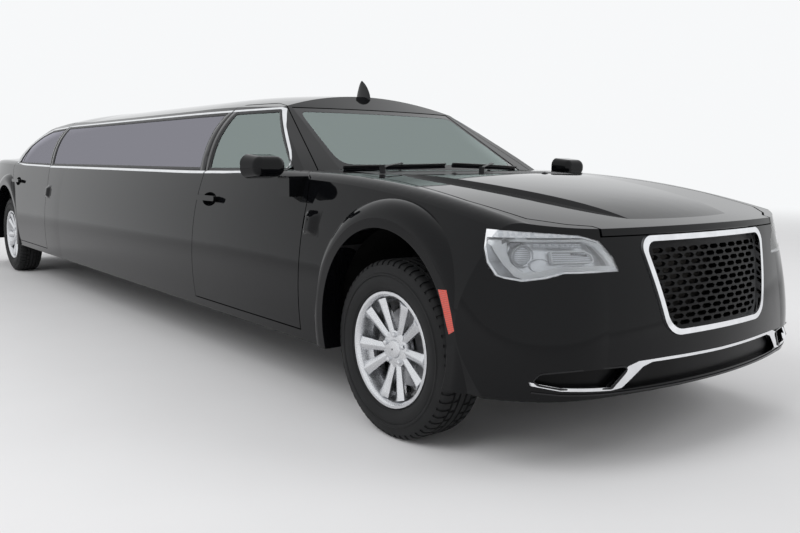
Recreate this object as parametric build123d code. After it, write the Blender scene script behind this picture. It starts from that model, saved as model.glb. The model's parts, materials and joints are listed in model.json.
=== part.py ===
"""Stretch limousine on a large four-door saloon: a long middle section joins the front and rear of the saloon.

Millimetres. +X points to the nose, +Y to the car's left, +Z up. The origin is on the ground under the
middle of the car. Places near the nose are measured from the front axle, places near the tail from the
rear axle, so a change of the stretch moves the two ends apart and leaves their shapes alone.
"""
import os
from math import atan2, degrees, radians, tan

from build123d import *

# Overall sizes
saloon_wheelbase = 3052
stretch_length = 3048
front_overhang = 870
rear_overhang = 1122
half_width = 951
ride_height = 295  # underside of the sills above the ground
wheelbase = saloon_wheelbase + stretch_length
front_axle_x = (wheelbase + rear_overhang - front_overhang) / 2
rear_axle_x = front_axle_x - wheelbase

# Walls and gaps
side_wall = 95
top_wall = 34
end_wall = 70
floor_wall = 40
pillar_wall = 46
shut_gap = 6
shut_draft = 24  # degrees, so that a door clears its opening as it swings
glass_depth = 4
glass_thickness = 6
seal_gap = 0.5

# Wheels and tyres
tyre_radius = 355.5
tyre_width = 215
rim_radius = 216
rim_lip = 16
track_half = 805
arch_radius = 402
arch_centre_z = 435

# Steering and doors
lock_angle = 33
kingpin_y = 690
kingpin_radius = 22
spindle_radius = 30
bearing_gap = 0.5
hinge_forward = 62
hinge_inboard = 22
hood_gap = 9
lid_gap = 8

# Floor, wells and tunnel
floor_top = ride_height + floor_wall
well_wall = 6
front_well_radius = 428  # the steered tyre's corner passes inside it
front_well_inner = 490
rear_well_inner = 640
tunnel_half = 150
tunnel_top = 500
bay_half = 440
pan_top = 540


def fx(x):
    """Place along X, measured forward from the front axle."""
    return front_axle_x + x


def rx(x):
    """Place along X, measured forward from the rear axle."""
    return rear_axle_x + x


def mirrored(shape):
    """The same shape on the other side of the car."""
    return mirror(shape, about=Plane.XZ)


def both_sides(shape):
    """The shape and its mirror image, as separate solids."""
    return Compound(children=[*shape.solids(), *mirrored(shape).solids()])


# Body cross-sections, nose to tail.
# columns: x, half width at the widest, at the sill, at the shoulder, shoulder height, crown height
WIDEST_Z = 610
SHOULDER_DROP = 46
SHOULDER_RUN = 72
front_sections = [
    (fx(900), 880, 860, 800, 780, 842),
    (fx(560), 938, 915, 850, 862, 912),
    (fx(120), 951, 930, 862, 944, 978),
    (fx(-480), 947, 930, 868, 1000, 1036),
    (fx(-1200), 949, 932, 878, 1018, 1050),
    (fx(-1700), 949, 932, 878, 1018, 1050),
]
rear_sections = [
    (rx(1800), 949, 932, 878, 1018, 1050),
    (rx(1300), 949, 932, 878, 1018, 1050),
    (rx(400), 950, 932, 876, 1030, 1076),
    (rx(-250), 949, 930, 866, 1042, 1112),
    (rx(-800), 925, 905, 832, 1044, 1118),
    (rx(-1160), 890, 870, 790, 1020, 1092),
]


def body_section(row, side=0.0, top=0.0, bottom=0.0):
    """One closed cross-section of the lower body, drawn in by the given walls."""
    x, widest, sill, shoulder, shoulder_z, crown = row
    low = ride_height + bottom
    sill, widest, shoulder = sill - side, widest - side, shoulder - side * 0.6
    shoulder_z, crown = shoulder_z - top, crown - top
    edge_y, edge_z = shoulder - SHOULDER_RUN, shoulder_z + SHOULDER_DROP - SHOULDER_DROP * 0.25
    mid_y, mid_z = shoulder - SHOULDER_RUN * 0.33, shoulder_z + SHOULDER_DROP * 0.5
    with BuildSketch(Plane(origin=(x, 0, 0), x_dir=(0, 1, 0), z_dir=(1, 0, 0))) as face:
        with BuildLine():
            Line((-sill, low), (sill, low))
            ThreePointArc((sill, low), (widest, WIDEST_Z), (shoulder, shoulder_z))
            ThreePointArc((shoulder, shoulder_z), (mid_y, mid_z), (edge_y, edge_z))
            ThreePointArc((edge_y, edge_z), (0, crown), (-edge_y, edge_z))
            ThreePointArc((-edge_y, edge_z), (-mid_y, mid_z), (-shoulder, shoulder_z))
            ThreePointArc((-shoulder, shoulder_z), (-widest, WIDEST_Z), (-sill, low))
        make_face()
    return face.sketch.faces()[0]


# Plan outlines of the lower body, bottom to top. x is from the nearer axle.
# columns: z, nose centre, nose edge x, y, corner x, y, side start, tail centre, tail edge x, y, corner x, y, side start
plan_outlines = [
    (200, 838, 770, 560, 690, 770, 430, -1085, -1040, 600, -930, 830, -720),
    (400, 870, 800, 580, 700, 800, 430, -1122, -1075, 620, -950, 850, -720),
    (520, 868, 796, 570, 690, 800, 420, -1122, -1075, 620, -950, 850, -720),
    (860, 792, 735, 560, 620, 780, 380, -1092, -1050, 600, -940, 820, -720),
    (1150, 700, 650, 540, 540, 760, 330, -1060, -1020, 590, -920, 800, -720),
]
PLAN_SIDE = 957


def plan_section(row, inset=0.0):
    """One horizontal outline of the nose, sides and tail."""
    z, nose, nose_x, nose_y, corner_x, corner_y, side_x, tail, tail_x, tail_y, back_x, back_y, rear_x = row
    side_y = PLAN_SIDE - inset
    half = [
        (fx(nose_x - inset), nose_y - inset * 0.6),
        (fx(corner_x - inset * 0.8), corner_y - inset * 0.8),
        (fx(side_x - inset * 0.5), side_y),
        (rx(rear_x + inset * 0.5), side_y),
        (rx(back_x + inset * 0.8), back_y - inset * 0.8),
        (rx(tail_x + inset), tail_y - inset * 0.6),
    ]
    a, b, c, d, e, f = half
    flip = [(x, -y) for x, y in half]
    with BuildSketch(Plane.XY.offset(z)) as face:
        with BuildLine():
            ThreePointArc(flip[0], (fx(nose - inset), 0), a)
            ThreePointArc(a, b, c)
            Line(c, d)
            ThreePointArc(d, e, f)
            ThreePointArc(f, (rx(tail + inset), 0), flip[5])
            ThreePointArc(flip[5], flip[4], flip[3])
            Line(flip[3], flip[2])
            ThreePointArc(flip[2], flip[1], flip[0])
        make_face()
    return face.sketch.faces()[0]


def lower_body(side=0.0, top=0.0, bottom=0.0, end=0.0):
    """The body below the windows, as one solid; the walls say how far it is drawn in."""
    front = loft([body_section(r, side, top, bottom) for r in front_sections])
    rear = loft([body_section(r, side, top, bottom) for r in rear_sections])
    middle = loft(
        [body_section(r, side, top, bottom) for r in (front_sections[-1], rear_sections[0])], ruled=True
    )
    along = front + middle + rear
    plan = loft([plan_section(r, end) for r in plan_outlines])
    return (along & plan).solid()


# The raised middle of the hood. columns: x, half width at its crease, crease and middle above the body's crown
dome_sections = [
    (fx(800), 300, -24, -20),
    (fx(620), 330, 8, 14),
    (fx(200), 430, 20, 25),
    (fx(-250), 520, 16, 20),
    (fx(-480), 570, -14, -10),
]
DOME_FLANK = 55  # run of the slope outside the crease
DOME_ROOT = 22  # how far the slope's foot lies below the body's surface


def crown_at(x, y):
    """Height of the front body's top at a place near the car's middle."""
    rows = front_sections
    for ahead, behind in zip(rows, rows[1:]):
        if x >= behind[0]:
            break
    share = (x - behind[0]) / (ahead[0] - behind[0])
    _, _, _, shoulder, shoulder_z, crown = [q + (p - q) * share for p, q in zip(ahead, behind)]
    edge_y, edge_z = shoulder - SHOULDER_RUN, shoulder_z + SHOULDER_DROP * 0.75
    return crown + (edge_z - crown) * (y / edge_y) ** 2


def dome_section(row):
    """One cross-section of the hood's raised middle."""
    x, half, edge, middle = row
    foot = half + DOME_FLANK
    low = crown_at(x, foot) - DOME_ROOT + min(0, edge)
    edge_z = crown_at(x, half) + edge
    with BuildSketch(Plane(origin=(x, 0, 0), x_dir=(0, 1, 0), z_dir=(1, 0, 0))) as face:
        with BuildLine():
            Polyline((half, edge_z), (foot, low), (foot, low - 60), (-foot, low - 60), (-foot, low), (-half, edge_z))
            ThreePointArc((-half, edge_z), (0, crown_at(x, 0) + middle), (half, edge_z))
        make_face()
    return face.sketch.faces()[0]


def hood_dome():
    """The raised middle of the hood, to be joined with the body."""
    return loft([dome_section(r) for r in dome_sections])


flare_half_width = 951
flare_lip = 440  # radius up to which the flare is flat
flare_foot = 514  # radius at which it has run out


def arch_flare(x):
    """The raised rim over one wheel arch, right side: a profile turned about the wheel's line."""
    root = 800
    with BuildSketch(Plane.XY) as face:
        with BuildLine():
            Polyline((flare_foot, -root), (arch_radius - 14, -root), (arch_radius - 14, 4 - flare_half_width))
            Line((arch_radius - 14, 4 - flare_half_width), (arch_radius + 2, -flare_half_width))
            Line((arch_radius + 2, -flare_half_width), (flare_lip, -flare_half_width))
            TangentArc((flare_lip, -flare_half_width), (flare_foot, 81 - flare_half_width), tangent=(1, 0))
            Line((flare_foot, 81 - flare_half_width), (flare_foot, -root))
        make_face()
    ring = Pos(x, 0, arch_centre_z) * revolve(face.sketch, Axis.Y)
    return ring & block(rear_axle_x - 600, front_axle_x + 600, -1000, -860, ride_height, 960)


# Outlines of the cabin above the belt, bottom to top. x is from the nearer axle. Each side bends in from its
# start to the pillar, a flat pillar face leads to the edge of the glass, and an arc spans the glass.
# columns: z, side y, screen centre, edge x, y, pillar x, y, side start, rear centre, edge x, y, pillar x, y, side start
cabin_outlines = [
    (960, 888, -435, -625, 632, -690, 822, -1800, -520, -430, 690, -330, 792, 500),
    (1080, 852, -674, -830, 605, -868, 768, -1900, -390, -290, 665, -150, 774, 600),
    (1230, 785, -975, -1090, 572, -1120, 688, -2100, -50, 50, 622, 165, 720, 900),
    (1360, 675, -1235, -1314, 543, -1330, 594, -2300, 310, 420, 556, 540, 634, 1400),
    (1520, 470, -1530, -1590, 400, -1610, 430, -2500, 640, 730, 430, 820, 462, 1700),
]


def cabin_section(row, inset=0.0):
    """One horizontal outline of the cabin."""
    z, side_y, nose, nose_x, nose_y, corner_x, corner_y, side_x, tail, tail_x, tail_y, back_x, back_y, rear_x = row
    side_y -= inset * 1.25
    half = [
        (fx(nose_x - inset * 1.8), nose_y - inset * 0.6),
        (fx(corner_x - inset * 1.2), corner_y - inset * 1.1),
        (fx(side_x), side_y),
        (rx(rear_x), side_y),
        (rx(back_x + inset * 1.2), back_y - inset * 1.1),
        (rx(tail_x + inset * 1.8), tail_y - inset * 0.6),
    ]
    a, b, c, d, e, f = half
    flip = [(x, -y) for x, y in half]
    with BuildSketch(Plane.XY.offset(z)) as face:
        with BuildLine():
            ThreePointArc(flip[0], (fx(nose - inset * 1.9), 0), a)
            Line(a, b)
            TangentArc(c, b, tangent=(1, 0))
            Line(c, d)
            TangentArc(d, e, tangent=(-1, 0))
            Line(e, f)
            ThreePointArc(f, (rx(tail + inset * 1.9), 0), flip[5])
            Line(flip[5], flip[4])
            TangentArc(flip[3], flip[4], tangent=(-1, 0))
            Line(flip[3], flip[2])
            TangentArc(flip[2], flip[1], tangent=(1, 0))
            Line(flip[1], flip[0])
        make_face()
    return face.sketch.faces()[0]


# Roof crown along the car. columns: x, edge height at 700 mm from the middle, crown height
roof_sections = [
    (fx(-300), 1200, 1320),
    (fx(-1350), 1336, 1450),
    (fx(-2300), 1368, 1492),
    (rx(1700), 1368, 1492),
    (rx(700), 1350, 1472),
    (rx(-300), 1230, 1350),
]
ROOF_HALF = 700


def roof_section(row, inset=0.0):
    """A tall slab whose top is the roof's crown."""
    x, edge, crown = row
    with BuildSketch(Plane(origin=(x, 0, 0), x_dir=(0, 1, 0), z_dir=(1, 0, 0))) as face:
        with BuildLine():
            Polyline((-1000, edge - 90 - inset), (-1000, 600), (1000, 600), (1000, edge - 90 - inset))
            Line((1000, edge - 90 - inset), (ROOF_HALF, edge - inset))
            ThreePointArc((ROOF_HALF, edge - inset), (0, crown - inset), (-ROOF_HALF, edge - inset))
            Line((-ROOF_HALF, edge - inset), (-1000, edge - 90 - inset))
        make_face()
    return face.sketch.faces()[0]


def roof_slab(inset=0.0):
    """All that lies under the roof's crown."""
    front = loft([roof_section(r, inset) for r in roof_sections[:3]])
    middle = loft([roof_section(r, inset) for r in roof_sections[2:4]], ruled=True)
    rear = loft([roof_section(r, inset) for r in roof_sections[3:]])
    return front + middle + rear


def cabin(inset=0.0, roof_inset=None):
    """The cabin above the belt, as one solid."""
    sides = loft([cabin_section(r, inset) for r in cabin_outlines])
    return (sides & roof_slab(inset if roof_inset is None else roof_inset)).solid()


def block(x0, x1, y0, y1, z0, z1):
    """A box given by its limits."""
    return Pos((x0 + x1) / 2, (y0 + y1) / 2, (z0 + z1) / 2) * Box(x1 - x0, y1 - y0, z1 - z0)


def drum(x, z, y0, y1, radius):
    """A cylinder across the car."""
    return Pos(x, (y0 + y1) / 2, z) * Rot(90, 0, 0) * Cylinder(radius, y1 - y0)


def grown(points, amount):
    """The outline (a, b) moved outward by the amount, corner by corner."""
    area = sum(p[0] * q[1] - q[0] * p[1] for p, q in zip(points, points[1:] + points[:1]))
    turn = 1 if area > 0 else -1
    moved = []
    for i, here in enumerate(points):
        normals = []
        for p, q in ((points[i - 1], here), (here, points[(i + 1) % len(points)])):
            run, rise = q[0] - p[0], q[1] - p[1]
            size = (run * run + rise * rise) ** 0.5
            normals.append((turn * rise / size, -turn * run / size))
        (a, b), (c, d) = normals
        k = amount / (1 + a * c + b * d)
        moved.append((here[0] + k * (a + c), here[1] + k * (b + d), *here[2:]))
    return moved


def side_face(points, y):
    """A face parallel to the car's side from (x, z) points."""
    with BuildSketch(Plane(origin=(0, y, 0), x_dir=(1, 0, 0), z_dir=(0, -1, 0))) as face:
        with BuildLine():
            Polyline(*[p[:2] for p in points], close=True)
        make_face()
    return face.sketch.faces()[0]


def side_prism(points, grow=0.0, y_near=-1100, y_far=-510):
    """A prism through the right side; a third number in a point is the y where its bevel starts."""
    faces = []
    for y in (y_near, y_far):
        shifted = [
            (p[0] + (y - p[2]) * tan(radians(shut_draft)), p[1]) if len(p) > 2 else p
            for p in grown(points, grow)
        ]
        faces.append(side_face(shifted, y))
    return loft(faces, ruled=True)


def window_prism(points, grow=0.0):
    """A side window's opening, right side."""
    return side_prism(points, grow, y_far=-568)


def long_prism(points, x0, x1, grow=0.0, radius=0.0):
    """A prism along the car from (y, z) points."""
    with BuildSketch(Plane(origin=(x0, 0, 0), x_dir=(0, 1, 0), z_dir=(1, 0, 0))) as face:
        with BuildLine():
            Polyline(*grown(points, grow), close=True)
        make_face()
        if radius:
            fillet(face.vertices(), radius)
    return extrude(face.sketch, x1 - x0)


def plan_prism(points, z0, z1, grow=0.0):
    """An upright prism from (x, y) points."""
    with BuildSketch(Plane.XY.offset(z0)) as face:
        with BuildLine():
            Polyline(*grown(points, grow), close=True)
        make_face()
    return extrude(face.sketch, z1 - z0)


def symmetric(points):
    """A closed outline from the (a, b) points of its +a half, top to bottom or front to back."""
    return points + [(-a, b) for a, b in reversed(points)]


# Shut lines and windows of the right side: x, z and, on the latch edge, the y of the panel there
door_bottom = 345
front_door_outline = [
    (fx(-603), door_bottom),
    (fx(-603), 900),
    (fx(-626), 1010),
    (fx(-700), 1040),
    (fx(-1180), 1398),
    (fx(-1795), 1398, -588),
    (fx(-1704), 1010, -880),
    (fx(-1730), 880, -930),
    (fx(-1715), door_bottom, -935),
]
front_window_outline = [(fx(-885), 1043), (fx(-1335), 1350), (fx(-1738), 1350), (fx(-1672), 1036)]
# the front door ends inward at this line in plan, along the middle of the windscreen pillar
front_door_plan = [(fx(-500), -1100), (fx(-500), -806), (fx(-1900), -407), (fx(-1900), -1100)]
rear_door_plan = [(rx(1500), -1100), (rx(1500), -530), (rx(0), -530), (rx(0), -1100)]
rear_door_outline = [
    (rx(1385), door_bottom),
    (rx(1395), 880),
    (rx(1350), 1010),
    (rx(1245), 1398),
    (rx(790), 1384, -604),
    (rx(520), 1332, -650),
    (rx(300), 1240, -720),
    (rx(165), 1115, -778),
    (rx(140), 1000, -880),
    (rx(240), 850, -940),
    (rx(430), 640, -945),
    (rx(455), 500, -945),
    (rx(465), door_bottom, -935),
]
rear_window_outline = [
    (rx(1304), 1040),
    (rx(1208), 1345),
    (rx(800), 1334),
    (rx(560), 1288),
    (rx(360), 1204),
    (rx(228), 1088),
    (rx(215), 1048),
]
long_window_outline = [(fx(-1782), 1038), (fx(-1838), 1350), (rx(1305), 1350), (rx(1397), 1040)]
screen_outline = symmetric([(541, 1372), (612, 1044)])
backlight_outline = symmetric([(530, 1366), (640, 1122)])

# Hood, lid and end panels
hood_hinge_x = fx(-475)
hood_hinge_z = 978
hood_swing = 95  # from the hinge line to the hood's rear edge
lid_hinge_x = rx(-485)
lid_hinge_z = 1032
lid_swing = 112
lid_front = -560
hood_rear = -440
hood_outline = [
    (fx(hood_rear), 735),
    (fx(300), 770),
    (fx(560), 735),
    (fx(655), 640),
    (fx(700), 560),
    (fx(1000), 520),
    (fx(1000), -520),
    (fx(700), -560),
    (fx(655), -640),
    (fx(560), -735),
    (fx(300), -770),
    (fx(hood_rear), -735),
]
hood_edge_z = 842
sill_inner = 820
fender_rear = -606
cowl_half = 640
lid_half = 640
lid_bottom = 700
roof_joint_z = 1416
belt_z = 1040
frame_rear = 150
quarter_front = 460
fascia_outline = [
    (fx(300), 200),
    (fx(1000), 200),
    (fx(1000), hood_edge_z),
    (fx(545), hood_edge_z),
    (fx(527), 752),
    (fx(300), 700),
]
rear_bumper_outline = [
    (rx(-300), 200),
    (rx(-1300), 200),
    (rx(-1300), 640),
    (rx(-640), 640),
    (rx(-380), 570),
    (rx(-300), 560),
]
# headlamp in the front view, right side: y, z
headlamp_outline = [
    (-505, 722),
    (-522, 768),
    (-573, 827),
    (-640, 846),
    (-960, 872),
    (-960, 755),
    (-863, 704),
    (-823, 695),
    (-761, 705),
    (-702, 721),
]
headlamp_side = [(fx(490), 880), (fx(527), 755), (fx(572), 690), (fx(1000), 600), (fx(1000), 880)]
tail_lamp_outline = [(-652, 730), (-652, 868), (-900, 905), (-960, 905), (-960, 745)]
grille_outline = symmetric([(407, 838), (313, 486)])
grille_frame = 20
grille_top_radius = 46
grille_low_radius = 88
# cells of the grille's mesh: long hexagons in rows that step by half a cell
cell_width = 60
cell_height = 17
cell_corner = 11
cell_pitch = 66
row_pitch = 23.5
cell_rows = 12
mesh_border = 8
cell_smallest = 0.3  # share of a whole cell below which a cell at the border stays closed
# the bright trim's edges, from the right end to the middle: y, z
trim_upper = [(-826, 364), (-745, 345), (-563, 332), (-494, 399), (-448, 412), (-321, 413), (0, 410)]
trim_lower = [(-823, 352), (-745, 334), (-561, 320), (-514, 325), (-428, 391), (-386, 403), (0, 400)]
# the openings reach 2 mm behind the trim
lower_grille_outline = symmetric([(60, 402), (386, 405), (430, 393), (516, 323), (500, 316)])
vent_outline = [(-559, 330), (-745, 343), (-820, 360), (-797, 391), (-700, 399), (-492, 397)]


def nose_shape(inset):
    """All that lies behind the nose and tail surfaces, drawn in by the inset."""
    return loft([plan_section(r, inset) for r in plan_outlines])


side_limit = half_width - side_wall - 6


def wells(extra=0.0):
    """The spaces that the wheels turn in, right side, with some wall around them."""
    front = drum(front_axle_x, arch_centre_z, -side_limit, -front_well_inner + extra, front_well_radius + extra)
    rear = drum(rear_axle_x, arch_centre_z, -side_limit, -rear_well_inner + extra, arch_radius + extra)
    return front, rear


class Body:
    """The body's surfaces and the panels cut from them."""

    def __init__(self):
        self.inner = lower_body(side_wall, top_wall, floor_wall, end_wall) + cabin(pillar_wall)
        self.outer = lower_body() + hood_dome() + cabin()
        for axle in (front_axle_x, rear_axle_x):
            flare = arch_flare(axle)
            self.outer += [flare, mirrored(flare)]
        self.glass = cabin(glass_depth) - cabin(glass_depth + glass_thickness)
        shell = self.outer - self.inner
        shell -= self.wheel_openings()
        shell -= self.floor_openings()
        shell -= long_prism(screen_outline, fx(-1480), fx(-200))
        shell -= long_prism(backlight_outline, rx(-700), rx(600))
        cuts = {}
        for name, outline, plan, window in (
            ("front", front_door_outline, front_door_plan, front_window_outline),
            ("rear", rear_door_outline, rear_door_plan, rear_window_outline),
        ):
            space = side_prism(outline) & plan_prism(plan, 300, 1500)
            cuts[name] = (shell & space) - window_prism(window)
            opening = side_prism(outline, shut_gap) & plan_prism(plan, 300, 1500, shut_gap)
            shell -= opening
            shell -= mirrored(opening)
        window = window_prism(long_window_outline)
        shell -= window
        shell -= mirrored(window)
        self.doors = cuts
        self.shell = shell

    def wheel_openings(self):
        """Arches in the sides and the gaps in the floor above the wheels."""
        tools = []
        for axle in (front_axle_x, rear_axle_x):
            tools.append(drum(axle, arch_centre_z, -1100, -side_limit + 1, arch_radius))
        tools.extend(wells(well_wall))
        return Compound(children=[s for tool in tools for s in both_sides(tool).solids()])

    def floor_openings(self):
        """Open bays under the engine and the rear axle, and the tunnel between them."""
        low, high = ride_height - 20, floor_top + 20
        return [
            block(fx(-330), fx(420), -bay_half, bay_half, low, high),
            block(rx(-300), rx(300), -rear_well_inner + well_wall, rear_well_inner - well_wall, low, high),
            block(rx(290), fx(-320), -tunnel_half, tunnel_half, low, high),
        ]

    def hood(self):
        """The hood, cut from the top of the nose."""
        return self.shell & hood_space(0)

    def trunk_lid(self):
        """The lid with its upright rear face."""
        return self.shell & lid_space(0)

    def panels(self):
        """Every fixed panel of the body, keyed by its node's name, and the hood and lid."""
        shell = self.shell
        out = {"hood": self.hood(), "trunk_lid": self.trunk_lid()}
        shell -= hood_space(hood_gap)
        shell -= lid_space(lid_gap)
        lamps = headlamp_pocket(0)
        out["headlamps"] = shell & lamps
        shell -= lamps
        tail = both_sides(long_prism(tail_lamp_outline, rx(-1300), rx(-900)))
        out["tail_lamps"] = shell & tail
        shell -= tail
        fascia = across(fascia_outline)
        out["front_bumper"] = shell & fascia
        shell -= fascia
        keep = rear_well_inner - well_wall
        bumper = across(rear_bumper_outline) - block(rx(-424), rx(-200), -keep, keep, 0, floor_top + 1)
        out["rear_bumper"] = shell & bumper
        shell -= bumper
        floor = block(rx(-1200), fx(1000), -sill_inner, sill_inner, 0, floor_top)
        out["underbody"] = shell & floor
        shell -= floor
        roof = block(rx(-200), fx(-900), -900, 900, roof_joint_z, 1600)
        out["roof"] = shell & roof
        shell -= roof
        front = block(fx(fender_rear), fx(1000), -1000, 1000, 0, 1200)
        fenders = shell & front
        cowl = block(fx(-900), fx(-350), -cowl_half, cowl_half, 900, 1200)
        out["cowl"] = fenders & cowl
        out["front_fenders"] = fenders - cowl
        rest = shell - front
        upper = block(rx(frame_rear), fx(0), -1000, 1000, belt_z, 1500)
        out["cabin_frame"] = rest & upper
        rest -= upper
        quarters = block(rx(-1300), rx(quarter_front), -1000, 1000, 0, 1500)
        out["rear_quarters"] = rest & quarters
        out["stretch_panels"] = rest - quarters
        return out


def across(points, grow=0.0):
    """A prism through the whole width from (x, z) points."""
    return extrude(side_face(grown(points, grow), -1100), 2200, dir=(0, 1, 0))


def hood_prism(grow=0.0):
    """The hood's outline, upright."""
    return plan_prism(hood_outline, 700, 1200, grow)


def hood_space(gap):
    """The hood's space; its rear edge is turned about the hinge line, so that it clears the cowl as it lifts."""
    limit = block(hood_hinge_x + 40, fx(1000), -900, 900, hood_edge_z - gap / 2, 1200)
    return (hood_prism(gap) & limit) - drum(hood_hinge_x, hood_hinge_z, -900, 900, hood_swing - gap)


def lid_space(gap):
    """The trunk lid's space: the deck behind the rear window and the upper rear face."""
    half = lid_half + gap
    deck = block(rx(-1300), lid_hinge_x - 40, -half, half, 850, 1300)
    deck -= drum(lid_hinge_x, lid_hinge_z, -900, 900, lid_swing - gap)
    face = block(rx(-1300), rx(-1000 + gap), -half, half, lid_bottom - gap, 900)
    return deck + face


def headlamp_pocket(grow):
    """The space of both headlamps."""
    front = long_prism(headlamp_outline, fx(480), fx(1000), grow)
    return both_sides(front & across(headlamp_side, grow))


def band(near, far):
    """The skin of the nose and tail between two depths; a depth below zero stands proud."""
    return nose_shape(near) - nose_shape(far)


marker_outline = [(fx(352), 645), (fx(396), 649), (fx(441), 512), (fx(414), 496)]
marker_depth = 14


def grille_prism(inset):
    """The grille's outline with its rounded corners, drawn in by the inset."""
    with BuildSketch(Plane(origin=(fx(600), 0, 0), x_dir=(0, 1, 0), z_dir=(1, 0, 0))) as face:
        with BuildLine():
            Polyline(*grown(grille_outline, -inset), close=True)
        make_face()
        fillet(face.vertices().group_by(Axis.Y)[-1], grille_top_radius - inset / 2)
        fillet([v for v in face.vertices() if v.Y < grille_outline[1][1] + inset + 1], grille_low_radius - inset / 2)
    return extrude(face.sketch, 400)


def mesh_cells():
    """The openings of the grille's mesh, cut off at its border."""
    side, rise = cell_width / 2, cell_height / 2
    flat = side - cell_corner
    corners = [(-side, 0), (-flat, rise), (flat, rise), (side, 0), (flat, -rise), (-flat, -rise)]
    low_z = grille_outline[1][1] + grille_frame + mesh_border + rise
    half_count = int(grille_outline[0][0] / cell_pitch)
    with BuildSketch(Plane(origin=(fx(600), 0, 0), x_dir=(0, 1, 0), z_dir=(1, 0, 0))) as face:
        for row in range(cell_rows):
            shift = cell_pitch / 2 * (row % 2)
            places = [(i * cell_pitch + shift, low_z + row * row_pitch) for i in range(-half_count - 1, half_count + 1)]
            with Locations(*places):
                Polygon(*corners)
    cells = extrude(face.sketch, 400) & grille_prism(grille_frame + mesh_border)
    whole = max(cell.volume for cell in cells.solids())
    return [cell for cell in cells.solids() if cell.volume > cell_smallest * whole]


class Nose:
    """The grilles, the bright trim and the lamps of the nose."""

    def __init__(self, fascia, lamps):
        self.fascia = fascia
        self.lamps = lamps

    def build(self):
        """Each node of the nose."""
        out = {}
        opening = grille_prism(0)
        inside = grille_prism(grille_frame)
        out["grille_frame"] = (opening - inside) & band(-9, 44)
        out["grille"] = (inside & band(16, 30)) - mesh_cells()
        upper, lower = [line + [(-y, z) for y, z in reversed(line[:-1])] for line in (trim_upper, trim_lower)]
        strip = long_prism(upper + lower[::-1], fx(500), fx(1000)) & band(-5, 12)
        out["bumper_trim"] = strip
        lower = long_prism(lower_grille_outline, fx(600), fx(1000))
        vents = both_sides(long_prism(vent_outline, fx(500), fx(1000), radius=6))
        out["lower_grilles"] = Compound(
            children=[*((lower - strip) & band(22, 34)).solids(), *(vents & band(30, 42)).solids()]
        )
        fascia = self.fascia - opening - strip - lower - vents
        prism = extrude(side_face(marker_outline, -1100), 1100 - side_limit - 72, dir=(0, 1, 0))
        marker = both_sides(fascia & prism)
        out["side_markers"] = marker
        out["front_bumper"] = fascia - marker
        lens = self.lamps - nose_shape(5)
        cavity = headlamp_pocket(-6) & (nose_shape(5) - nose_shape(62))
        cavity &= block(fx(400), fx(1000), -1000, 1000, 600, hood_edge_z - 4)
        out["headlamp_lenses"] = lens
        out["headlamps"] = self.lamps - lens - cavity
        return out


# Hinges. The arm's line starts at the pin: along the panel, and outward from it
hinge_pin = 5
hinge_eye = 11
hinge_fit = 0.3
hinge_height = 40
arm_width = 10
door_hinge_heights = (480, 820)
door_arm = [(0, 0), (8, -58), (67, -58)]
hood_arm = [(0, 0), (38, -58), (122, -58), (122, 30)]
lid_arm = [(0, 0), (38, -72), (132, -72), (132, 30)]
lid_hinge_y = 590
hinge_plate = 6


def arm_shape(line, height):
    """An arm of the given height along a line, with the pin's eye at its start."""
    body = Cylinder(hinge_eye, height)
    for (a, b), (c, d) in zip(line, line[1:]):
        run = ((c - a) ** 2 + (d - b) ** 2) ** 0.5
        turn = degrees(atan2(d - b, c - a))
        body += Pos((a + c) / 2, (b + d) / 2, 0) * Rot(0, 0, turn) * Box(run, arm_width, height)
        body += Pos(c, d, 0) * Cylinder(arm_width / 2, height)
    return body - Cylinder(hinge_pin + hinge_fit, height + 2)


def door_hinge(x, z):
    """A door's hinge arm, pin and the pocket that they need, right side."""
    y = hinge_inboard - half_width
    arm = Pos(x, y, z) * arm_shape([(-u, -v) for u, v in door_arm], hinge_height)
    room = hinge_height / 2 + 8
    pin = Pos(x, y, z) * Cylinder(hinge_pin, 2 * room)
    reach = hinge_eye + 3
    pocket = block(x - hinge_forward - 20, x + reach, y - reach, y + 110, z - room, z + room)
    return arm, pin, pocket


def lid_hinge(x, z, line, turn):
    """A hood or lid hinge arm with its pin and bracket, right side; turn is 1 for the hood, -1 for the lid."""
    y = -lid_hinge_y
    arm = Rot(90, 0, 0) * arm_shape([(turn * u, v) for u, v in line], hinge_height / 2)
    pin = drum(x, z, y - hinge_height / 4 - 2 - hinge_plate, y + hinge_height / 4 + 4, hinge_pin)
    plate = block(x - 14, x + 14, y - hinge_height / 4 - 2 - hinge_plate, y - hinge_height / 4 - 2, z - 14, z + 90)
    return Pos(x, y, z) * arm, pin, plate


bead_inset = 22  # from the tyre's side to the bead
flange_width = 10


def tyre():
    """One tyre about its own centre, axle along Y."""
    half = tyre_width / 2
    bead = half - bead_inset
    lip = rim_radius + rim_lip + 0.5
    wall_top, shoulder, tread = tyre_radius - 22, tyre_radius - 6, tyre_radius
    with BuildSketch(Plane.XY) as face:
        with BuildLine():
            Polyline((lip, -bead), (rim_radius, -bead), (rim_radius, bead), (lip, bead))
            ThreePointArc((lip, bead), (lip + 48, half), (wall_top, half - 13))
            ThreePointArc((wall_top, half - 13), (shoulder, half - 22), (tread, half - 42))
            Line((tread, half - 42), (tread, 42 - half))
            ThreePointArc((tread, 42 - half), (shoulder, 22 - half), (wall_top, 13 - half))
            ThreePointArc((wall_top, 13 - half), (lip + 48, -half), (lip, -bead))
        make_face()
    return revolve(face.sketch, Axis.Y)


spoke_pairs = 5
spoke_lean = 15  # degrees from a pair's middle to each of its spokes
hub_radius = 74
# A spoke's cross-sections. columns: radius, outer ridge, outer edges and back from the wheel's middle, width
spoke_sections = [
    (40, 60, 54, 26, 22),
    (110, 70, 60, 34, 28),
    (rim_radius - 6, 85, 74, 56, 40),
]


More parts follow.
